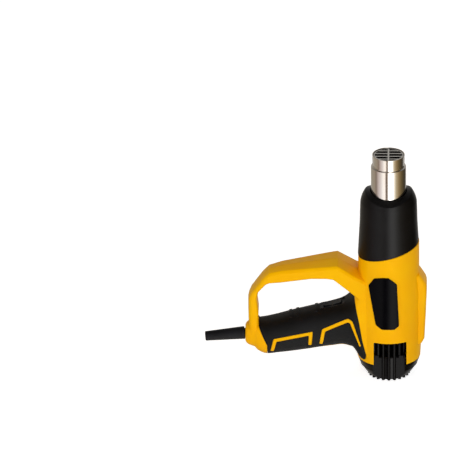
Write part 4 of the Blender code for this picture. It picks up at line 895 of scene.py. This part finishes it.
def intake_cap():
    flank_r, flank_z = CAP_FLANK[-1]
    top = REAR_EDGE_Z - GAP
    cap = turned("intake_cap", ((0, 0), *CAP_FOOT, *CAP_FLANK[:-1], (flank_r, top), (0, top)))
    spigot_r = CAVITY_R - GAP
    cut(cap, cylinder("spigot", spigot_r, *SPIGOT_Z), "UNION")
    side = NOTCH_HALF_W - GAP
    for way in (-1, 1):
        cut(cap, block("side_cut", (-side, way * (DRUM_R - DRUM_SINK), -FAR), (side, way * FAR, FAR)))
    rim_z = DRUM_TOP_Z - DRUM_RIM_H
    rim_r = DRUM_R + DRUM_RIM_RISE
    rim_low = rim_z - DRUM_RIM_OVERLAP
    rim = turned("rim", ((0, rim_low), (rim_r, rim_low), (rim_r, DRUM_TOP_Z - DRUM_RIM_EDGE),
                         (rim_r - DRUM_RIM_EDGE, DRUM_TOP_Z), (0, DRUM_TOP_Z)))
    drum = extruded("drum", drum_outline(), 0, rim_z, "Z")
    cut(cap, cut(drum, rim, "UNION"), "UNION")
    cut(cap, cylinder("drum_room", DRUM_R - CAP_WALL, FLOOR_T, CAP_OPEN_Z))
    pocket_r, pocket_z = DRUM_R + RIB_R + POCKET_CLEARANCE, CAP_FLANK[0][1] + POCKET_RAISE
    flank = [(r - CAP_WALL, z) for r, z in CAP_FLANK[2:0:-1]]
    inside = ((spigot_r - CAP_WALL, CAP_OPEN_Z), (spigot_r - CAP_WALL, flank_z), *flank,
              (pocket_r, pocket_z), (pocket_r, CAP_OPEN_Z))
    for way in (-1, 1):
        keep = block("keep", (way * (side + CAP_WALL), -FAR, -FAR), (-way * FAR, FAR, FAR))
        cut(cap, cut(turned("pocket", inside), keep))
    return cap


def slot_cutters():
    """Slots and foot grooves between the drum's ribs, and slots in the floor, all spread round the axis."""
    tree, add, given = instancer("intake_slots", {
        "Ribs": RIB_COUNT, "Floor Slots": FLOOR_SLOT_COUNT, "Slot Width": SLOT_W * MM,
        "Floor Slot Width": FLOOR_SLOT_W * MM, "Notch Half Width": (NOTCH_HALF_W - GAP - SLOT_W) * MM})
    made = []
    for count, width, (low, high), (near, far) in (
            ("Ribs", "Slot Width", SLOT_Z, SLOT_R),
            ("Floor Slots", "Floor Slot Width", FLOOR_SLOT_Z, FLOOR_SLOT_R),
            ("Ribs", "Slot Width", FOOT_GROOVE_Z, FOOT_GROOVE_R)):
        circle = add("GeometryNodeMeshCircle", Vertices=given[count], Radius=(near + far) / 2 * MM)
        size = add("CombineXYZ", X=(far - near) * MM, Y=given[width], Z=(high - low) * MM)
        turn = add("FunctionNodeAlignRotationToVector", axis="X", Vector=add("GeometryNodeInputPosition"))
        slots = add("GeometryNodeInstanceOnPoints", Points=circle, Rotation=turn,
                    Instance=add("GeometryNodeMeshCube", Size=size))
        made.append(add("GeometryNodeTransform", Geometry=slots, Translation=(0, 0, (low + high) / 2 * MM)))
    across = add("SeparateXYZ", _0=add("GeometryNodeInputPosition")).outputs["X"]
    aside = add("Math", operation="ABSOLUTE", _0=across)
    hidden = add("Math", operation="GREATER_THAN", _0=aside, _1=given["Notch Half Width"])
    made[0] = add("GeometryNodeDeleteGeometry", domain="INSTANCE", Geometry=made[0], Selection=hidden)
    return realised("slot_cutters", tree, None, *made)


# Moulded polypropylene: the deepest black here, with a satin skin that gives each rib a thin light line.
CAP_PLASTIC = moulded_black("polypropylene_black_satin", "030304", "070708", 0.24, 0.9, 0.12, 0.25, 0.14)
cap = intake_cap()
cut(cap, slot_cutters())
dress(cap, CAP_PLASTIC, "housing", "rear_cap")

# Soft grip
# Thermoplastic elastomer moulded over the handle in two halves, with the yellow ribs standing through it.
# Inside each bracket of ribs the skin drops to a pad with a pebbled texture; the rest is fine matt.
PAD_DROP = 0.45
PAD_MARGIN = 0.5
PAD_CORNER_R = 1.2
PAD_OPEN = 20
RIB_GAP = 0.3
FINGER_RIBS = ((-99.4, -96.6), (-92.4, -89.6), (-73.6, -71.0))
FINGER_RIB_HALF_W = 9.5
FINGER_RIB_RISE = 0.8
FINGER_RIB_FOOT_Z = 40
BARREL_GAP_TOP_Z = 130
SCREW_HOLE_IN_Y = 4
WINDOW_CORNER_R = 2.2
COLLAR_T = 1.2
COLLAR_REACH = 8.0
COLLAR_CORNER_R = 3.0


def slab(name, half_u, half_v, corner_r, low, high):
    """An upright slab round the origin with rounded corners."""
    outline = ((-half_u, -half_v), (half_u, -half_v), (half_u, half_v), (-half_u, half_v))
    return extruded(name, rounded(outline, corner_r), low, high, "Z")


def grip_skin():
    """Both halves of the soft skin in one piece, before the split."""
    skin = handle_solid("grip")
    outline = grown([*GRIP_HEEL_EDGE, *GRIP_LOW_EDGE, *GRIP_BARREL_EDGE], -GAP)
    cut(skin, extruded("keep", outline), "INTERSECT")
    cut(skin, handle_solid("core", GRIP_T))
    cut(skin, cylinder("barrel_gap", BARREL_PROFILE[3][0] + GAP, 0, BARREL_GAP_TOP_Z))
    ribs = accent_bands("rib_gaps", RIB_GAP)
    foot = ACCENT_FOOT_Y - RIB_GAP
    cut(skin, cut(ribs, block("middle", (-FAR, -foot, 0), (0, foot, FAR))))
    half_l = SWITCH_FRAME[0] / 2 + GAP
    half_w = half_l + (SWITCH_BODY[1] - SWITCH_BODY[0]) / 2
    collar = slab("collar", half_l + COLLAR_T, half_w + COLLAR_T, COLLAR_CORNER_R,
                  SWITCH_RISE - SWITCH_FRAME[2], COLLAR_REACH)
    cut(skin, cut(at_switch(collar), handle_solid("grip_top"), "INTERSECT"), "UNION")
    depth = SWITCH_BODY[2] / 2
    cut(skin, at_switch(slab("window", half_l, half_w, WINDOW_CORNER_R, -depth, depth)))
    half_w = FINGER_RIB_HALF_W
    for low, high in FINGER_RIBS:
        rib = block("finger_rib", (low, -half_w, FINGER_RIB_FOOT_Z), (high, half_w, FAR))
        cut(rib, handle_solid("rib_top", -FINGER_RIB_RISE), "INTERSECT")
        cut(skin, cut(rib, handle_solid("rib_foot", GRIP_T / 2)), "UNION")
    for x, z, seat in SCREWS:
        cut(skin, rod("screw_hole", (x, SCREW_HOLE_IN_Y, z), (x, OUTSIDE_Y, z), SCREW_HEAD_R + 2 * GAP))
    return skin


def pad_outline(line):
    """The area inside a bracket of ribs, open to the palm side of the grip."""
    points = [Vector(p[:2]) for p in line]
    middle = sum(points, Vector((0, 0))) / len(points)
    inside = []
    for point, (u, v, width), n in zip(points, line, side_normals(points, False)):
        reach = n * (width / 2 + RIB_GAP + PAD_MARGIN)
        inside.append(min(point + reach, point - reach, key=lambda p: (p - middle).length))
    first, last = inside[0], inside[-1]
    return [(first.x, first.y - PAD_OPEN), *((p.x, p.y) for p in inside), (last.x, last.y - PAD_OPEN)]


def is_inside(u, v, outline):
    """Whether a point lies within a closed outline, by the sides that a ray from it crosses."""
    crossed = 0
    for (u0, v0), (u1, v1) in zip(outline, outline[1:] + outline[:1]):
        if (v0 > v) != (v1 > v) and u < u0 + (v - v0) * (u1 - u0) / (v1 - v0):
            crossed += 1
    return crossed % 2 == 1


def elastomer(name, low, high, pebble, depth, roughness):
    """Soft-touch elastomer: pebbles from cell noise, a haze of sheen and slightly polished high spots."""
    return moulding(name, ((0.35, low), (0.7, high)), (18.0, 4.0),
                    ("TexVoronoi", pebble, {}),
                    {"invert": True, "Strength": depth, "Distance": 0.3 * MM},
                    (roughness - 0.05, roughness + 0.08), 0.3,
                    Specular_IOR_Level=0.16, Sheen_Weight=0.03, Sheen_Roughness=0.5)


# Moulded elastomer takes in the light: a flat black that only brightens at glancing angles. On the pads
# its pebbles are wider and deeper, which greys them a little.
TPE = elastomer("soft_elastomer", "060606", "0B0B0D", 0.63, 0.25, 0.52)
TPE_PAD = elastomer("pebbled_elastomer", "08090A", "0F1012", 1.1, 0.9, 0.56)
PAD_OUTLINES = [rounded(pad_outline(line), PAD_CORNER_R) for line in ACCENTS]
skin = grip_skin()
pads = cut(*(extruded("pads", outline) for outline in PAD_OUTLINES), "UNION")
cut(pads, block("middle", (-FAR, -ACCENT_FOOT_Y, 0), (0, ACCENT_FOOT_Y, FAR)))
cut(skin, cut(pads, handle_solid("pad_level", PAD_DROP)))
for name, side, node in (("left_grip_skin", -1, "left_grip"), ("right_grip_skin", 1, "right_grip")):
    half = half_of(skin, name, side)
    dress(half, TPE, "housing", node)
    half.data.materials.append(TPE_PAD)
    for face in half.data.polygons:
        x, y, z = face.center / MM
        if abs(y) > ACCENT_FOOT_Y and any(is_inside(x, z, outline) for outline in PAD_OUTLINES):
            face.material_index = 1
bpy.data.objects.remove(skin, do_unlink=True)

# Side plate
# Bare octagonal plate of gloss black acrylic, laid into the left side of the barrel and glued there.
# Its face follows the barrel's curve, with a fine rounded edge and the faint haze of handling.
PLATE_OUTLINE = ((-20.1, 107.4), (-14.4, 116.2), (-1.3, 119), (8.3, 111),
                 (10.4, 66), (5.9, 62.4), (-6.9, 62.3), (-12.9, 66.6))
PLATE_CORNER = (1.1, 4)
PLATE_Y = (-60, -5)
PLATE_T = 1.4
WIPE_TILT = math.radians(24)
WIPE_MARK = (1.1, 17.0)
HAZE = 17.0


def barrel_level(name, rise):
    """The barrel as a solid, thicker all round."""
    skin = [(r + rise, z) for r, z in BARREL_PROFILE[1:-1]]
    return turned(name, ((0, skin[0][1]), *skin, (0, skin[-1][1])))


def side_plate():
    plate = extruded("bare_plate", rounded(PLATE_OUTLINE, *PLATE_CORNER), *PLATE_Y)
    return cut(cut(plate, barrel_level("over", PLATE_T), "INTERSECT"), barrel_level("under", GAP))


def gloss_black():
    """Gloss acrylic: near black and smooth, with a haze of fine wipe marks in its roughness."""
    mat, add, place = surface("gloss_acrylic_black")
    across, along = (scale_of(size) for size in WIPE_MARK)
    aslant = add("Mapping", Vector=place, Rotation=(0, WIPE_TILT, 0), Scale=(across, across, along))
    wipes = add("TexNoise", Vector=aslant, Scale=1.0, Detail=4.0)
    haze = add("TexNoise", Vector=place, Scale=scale_of(HAZE), Detail=2.0)
    tint = add("Mix", data_type="RGBA", _0=haze, _6=linear("020204"), _7=linear("050508"))
    both = add("Math", operation="MULTIPLY", _0=wipes, _1=haze)
    rough = add("MapRange", Value=both, To_Min=0.16, To_Max=0.34)
    soft = add("Bevel", samples=4, Radius=0.5 * MM)
    return ended(mat, Base_Color=tint.outputs[2], Roughness=rough, Normal=soft, Specular_IOR_Level=0.05)


dress(side_plate(), gloss_black(), "housing", "side_plate")

# Cable boot
# Soft PVC strain relief that the heel grips by a collar: tapered, with a neck in the heel's opening.
# Its tip is open where the cord, which is left out, would leave it.
BOOT_LENGTH = math.dist((-143.3, 43.2), (-183.0, 38.6))
BOOT_ROOT_R = 6.4
BOOT_TIP_R = 4.8
BOOT_TIP_EDGE = (0.5, 0.3, 0.1)
BOOT_SKIN_Z = (1.2, BOOT_LENGTH - 0.8)
BOOT_BORE_R = 2.9
BOOT_COLLAR_R = 6.6
BOOT_INSIDE = 9.0
BOOT_COLLAR_T = 3.5
BOOT_STEPS = 64
BOOT_TAPER_STEPS = 24


def cable_boot():
    collar = BOOT_COLLAR_T - BOOT_INSIDE
    face, chamfer, lip = BOOT_TIP_EDGE
    root, tip = Vector((BOOT_ROOT_R, BOOT_SKIN_Z[0])), Vector((BOOT_TIP_R, BOOT_SKIN_Z[1]))
    taper = [tuple(tip.lerp(root, i / BOOT_TAPER_STEPS)) for i in range(BOOT_TAPER_STEPS + 1)]
    profile = [(BOOT_BORE_R, BOOT_LENGTH), (BOOT_TIP_R - face, BOOT_LENGTH),
               (BOOT_TIP_R - lip, BOOT_LENGTH - chamfer), *taper, (BOOT_ROOT_R - lip, 2 * GAP),
               (BOOT_NECK_R, 2 * GAP), (BOOT_NECK_R, collar), (BOOT_COLLAR_R, collar),
               (BOOT_COLLAR_R, -BOOT_INSIDE), (BOOT_BORE_R, -BOOT_INSIDE)]
    boot = turned("boot", profile, BOOT_STEPS)
    turn = Vector((0, 0, 1)).rotation_difference(BOOT_AXIS).to_matrix().to_4x4()
    boot.data.transform(Matrix.Translation(BOOT_START * MM) @ turn)
    return boot


# Moulded soft PVC: a lighter black than the grip's, with a waxy shine that runs along the taper.
PVC = elastomer("soft_pvc", "0B0B0E", "121216", 0.42, 0.15, 0.4)
dress(cable_boot(), PVC, "housing", "cable_boot")

# Rocker switch
# Snap-in switch: a nylon body with a thin frame and blades, and a dished rocker that tilts on its pin.
# The rocker has a moulded bar and ring, so its two ends can be told apart by touch.
BODY_CORNER_R = 1.0
FRAME_CORNER_R = 1.8
WELL_Z = (-4.6, 5.0)
WELL_CORNER_R = 0.5
WELL_END_GAP = 0.6
BLADES = (-6.0, 0.0, 6.0)
BLADE_SIZE = (0.8, 4.8, 4.0)
ROCKER_HALF = (9.2, 4.0)
ROCKER_RISE = 2.0
ROCKER_DEPTH = 2.5
ROCKER_DRAFT = 0.3
ROCKER_PIVOT = -0.6
ROCKER_PIN_R = 0.9
ROCKER_PIN_WAY_Y = 20
DISH_STEPS = 24
DISH_FLOOR = 0.4
DISH_POWER = 1.5
MARK_FLOOR = 1.05
MARK_TOP = 3.0
BAR_MARK = ((5.4, -1.9), (6.0, 1.9))
RING_MARK_X = -5.6
RING_MARK_R = (1.1, 1.7)
RING_MARK_STEPS = 40


def pin_way():
    """The hole for the pin, through the rocker and both sides of the body."""
    ends = ((0, y, ROCKER_PIVOT) for y in (-ROCKER_PIN_WAY_Y, ROCKER_PIN_WAY_Y))
    return rod("pin_way", *ends, ROCKER_PIN_R + GAP)


def switch_body():
    length, width, depth = SWITCH_BODY
    body = slab("switch_frame", length / 2, width / 2, BODY_CORNER_R, -depth, SWITCH_RISE)
    length, width, thick = SWITCH_FRAME
    lip = slab("lip", length / 2, width / 2, FRAME_CORNER_R, SWITCH_RISE - thick, SWITCH_RISE)
    cut(body, lip, "UNION")
    half_l, half_w = ROCKER_HALF
    cut(body, slab("well", half_l + WELL_END_GAP, half_w + GAP, WELL_CORNER_R, *WELL_Z))
    cut(body, pin_way())
    thick, wide, long = BLADE_SIZE
    low, high = -depth - long, 1 - depth
    for x in BLADES:
        blade = block("blade", (x - thick / 2, -wide / 2, low), (x + thick / 2, wide / 2, high))
        cut(body, blade, "UNION")
    return at_switch(body)


def rocker():
    half_l, half_w = ROCKER_HALF
    outline = [(-half_l + ROCKER_DRAFT, -ROCKER_DEPTH), (half_l - ROCKER_DRAFT, -ROCKER_DEPTH)]
    for i in range(DISH_STEPS + 1):
        x = half_l * (1 - 2 * i / DISH_STEPS)
        share = DISH_FLOOR + (1 - DISH_FLOOR) * (abs(x) / half_l) ** DISH_POWER
        outline.append((x, ROCKER_RISE * share))
    key = extruded("rocker_key", outline, -half_w, half_w)
    cut(key, pin_way())
    near, far = BAR_MARK
    cut(key, block("bar_mark", (*near, MARK_FLOOR), (*far, MARK_TOP)))
    inner, outer = RING_MARK_R
    ring = turned("ring_mark", ((inner, MARK_FLOOR), (outer, MARK_FLOOR), (outer, MARK_TOP),
                                (inner, MARK_TOP)), RING_MARK_STEPS)
    ring.data.transform(Matrix.Translation((RING_MARK_X * MM, 0, 0)))
    cut(key, ring)
    return at_switch(key)


# Polished polycarbonate: smoother than the frame round it, so the dish of the rocker catches the light.
ROCKER_PLASTIC = moulded_black("polycarbonate_black_gloss", "0B0B0D", "101013", 0.28, 1.1, 0.08, 0.3)
dress(switch_body(), NYLON, "housing", "switch_body")
dress(rocker(), ROCKER_PLASTIC, "rocker", "switch_rocker")

# Housing screws
# Six zinc-plated pan-head screws with a cross recess, driven from the right into bosses of the left half.
# A head and a threaded shank are drawn once; Geometry Nodes set them on six seats, each at its length.
HEAD_H = 1.8
HEAD_CROWN = ((0, 0), (0.45, -0.05), (0.72, -0.2), (0.9, -0.5), (1, -1))
DRIVE_R = 1.6
DRIVE_HALF_W = 0.35
DRIVE_DEPTH = 0.9
SHANK_R = 1.4
SHANK_LENGTH = 17.0
SHANK_SIDES = 24
SHANK_TIP_Y = -7.35
THREAD_PITCH = 1.1
THREAD_DEPTH = 0.25
THREAD_RIDGE = (0.1, 0.3, 0.6)
POINT_H = 1.5


def screw_head():
    """The head above its seat, with a domed crown and a cross recess."""
    top = GAP + HEAD_H
    crown = [(SCREW_HEAD_R * share, top + drop) for share, drop in HEAD_CROWN]
    head = turned("screw_head", (*crown, (SCREW_HEAD_R, GAP), (0, GAP)), SCREW_SIDES)
    for reach, half in ((DRIVE_R, DRIVE_HALF_W), (DRIVE_HALF_W, DRIVE_R)):
        cut(head, block("drive", (-reach, -half, top - DRIVE_DEPTH), (reach, half, top + 1)))
    return head


def screw_shank():
    """The shank under the seat: turned ridges for the thread, and a point."""
    root = SHANK_R - THREAD_DEPTH
    begin, crest, end = THREAD_RIDGE
    profile = [(0, GAP), (root, GAP)]
    z = 0.0
    while z > POINT_H + THREAD_PITCH - SHANK_LENGTH:
        profile += [(root, z - begin), (SHANK_R, z - crest), (root, z - end)]
        z -= THREAD_PITCH
    profile += [(root, POINT_H - SHANK_LENGTH), (0, -SHANK_LENGTH)]
    return turned("screw_shank", profile, SHANK_SIDES)


def housing_screws(mat):
    """All six screws in one piece, turned so that their heads face the right side."""
    mesh = bpy.data.meshes.new("screw_seats")
    mesh.from_pydata([(x * MM, seat * MM, z * MM) for x, z, seat in SCREWS], [], [])
    seats = bpy.data.objects.new("screw_seats", mesh)
    drawn = {"Seats": seats, "Head": screw_head(), "Shank": screw_shank()}
    tree, add, given = instancer("housing_screws", {**drawn, "Tip Depth": SHANK_TIP_Y * MM})
    points, head, shank = (add("GeometryNodeObjectInfo", Object=given[label]).outputs["Geometry"]
                           for label in drawn)
    depth = add("SeparateXYZ", _0=add("GeometryNodeInputPosition")).outputs["Y"]
    length = add("Math", operation="SUBTRACT", _0=depth, _1=given["Tip Depth"])
    share = add("Math", operation="DIVIDE", _0=length, _1=SHANK_LENGTH * MM)
    stretch = add("CombineXYZ", X=1.0, Y=1.0, Z=share)
    aside = (-math.pi / 2, 0, 0)
    heads = add("GeometryNodeInstanceOnPoints", Points=points, Instance=head, Rotation=aside)
    shanks = add("GeometryNodeInstanceOnPoints", Points=points, Instance=shank, Rotation=aside,
                 Scale=stretch)
    screws = realised("housing_screws", tree, mat, heads, shanks)
    for part in drawn.values():
        bpy.data.objects.remove(part, do_unlink=True)
    return screws


# Bright zinc plating on turned steel: a cool light grey with a soft gleam.
ZINC = brushed_steel("zinc_plated_steel", "B9BBBD", "A9A59A", 0.32, 0.5)
screws = housing_screws(ZINC)
dress(screws, ZINC, "housing", "housing_screw_1")
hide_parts(*(f"housing_screw_{i + 1}" for i in range(1, len(SCREWS))))

# Motor, fan and duct
# Brushed motor: a deep-drawn zinc-plated can, a black moulded end bell, two ferrite magnets, sintered
# bronze bushes and a stack of blued steel plates. The fan and duct are moulded in grey and black nylon.


def finish_node(mat, *names):
    """Puts a material on CAD nodes, whose own shape stays."""
    for name in names:
        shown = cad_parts[name].data.materials
        shown.clear()
        shown.append(mat)


GRAINS_PER_CLOUD = 12


def mineral(name, low, high, grain, roughness, depth):
    """A dull pressed or fired body: two close tones in clouds, grains as bump, and no shine to speak of.
    Real grains are finer than 0.1 mm, too fine to show, and are drawn coarser."""
    mat, add, place = surface(name)
    grains = add("TexVoronoi", Vector=place, Scale=scale_of(grain))
    cloud = add("TexNoise", Vector=place, Scale=scale_of(grain * GRAINS_PER_CLOUD), Detail=4.0)
    tint = add("Mix", data_type="RGBA", _0=cloud, _6=linear(low), _7=linear(high))
    rough = add("MapRange", Value=cloud, To_Min=roughness - 0.06, To_Max=roughness + 0.08)
    bump = add("Bump", Height=grains, Strength=depth, Distance=0.1 * MM)
    return ended(mat, Base_Color=tint.outputs[2], Roughness=rough, Normal=bump)


# Sintered bronze is brown and dull, blued steel dark with a cold gleam, pressed ferrite slate grey and
# chalky, and the grey nylon a lighter matt than the black.
BRONZE = brushed_steel("sintered_bronze", "A9793F", "7C5A30", 0.42, 0.6)
BLUED_STEEL = brushed_steel("blued_lamination_steel", "5C5E66", "46464C", 0.34, 0.5)
FERRITE = mineral("pressed_ferrite", "2A2A2D", "37373A", 0.56, 0.62, 0.3)
GREY_NYLON = moulded_black("nylon_dark_grey", "2B2D30", "34363A", 0.45, 0.83, 0.25)
finish_node(ZINC, "motor_can", "motor_shaft")
finish_node(NYLON, "motor_end_bell", "air_duct")
finish_node(BRONZE, "front_bush", "rear_bush")
finish_node(FERRITE, "magnet_left", "magnet_right")
finish_node(BLUED_STEEL, "armature")
finish_node(GREY_NYLON, "motor_mount", "fan_impeller")

# Heating element
# Fired steatite former with a coiled resistance wire, in a rolled mica sleeve on a pressed mica disc.
# The former, the sleeve and the disc are drawn dark as painted shade, which leaves the gaps of the grille
# almost black.
# Steatite and mica get dark tones that are painted shade, not their own pale colours.
STEATITE = mineral("fired_steatite_painted_shade", "3A352E", "4C453B", 1.1, 0.72, 0.35)
MICA = mineral("pressed_mica_painted_shade", "2A2620", "3B352B", 1.5, 0.55, 0.25)
WIRE = brushed_steel("oxidised_resistance_wire", "5A544C", "3E3A36", 0.38, 0.7)
finish_node(STEATITE, "heater_core")
finish_node(MICA, "mica_sleeve", "heater_base")
finish_node(WIRE, "heater_coil", "thermal_fuse")

# Board, clamp and leads
# Glass-epoxy board with its solder mask, moulded parts in black epoxy, a nylon cord clamp with plated
# screws, and two leads in coloured PVC. All of it lies inside the handle.
finish_node(mineral("glass_epoxy_green", "12502C", "1B6238", 0.7, 0.4, 0.12), "circuit_board")
finish_node(mineral("moulded_epoxy_black", "111214", "1A1B1D", 0.67, 0.5, 0.2), "rectifier", "capacitor")
finish_node(NYLON, "terminal_block", "cable_clamp")
finish_node(ZINC, "clamp_screw_1", "clamp_screw_2", "switch_pin")
finish_node(elastomer("pvc_brown", "4A2714", "5A301A", 0.42, 0.12, 0.42), "live_lead")
finish_node(elastomer("pvc_blue", "12407E", "174C92", 0.42, 0.12, 0.42), "neutral_lead")
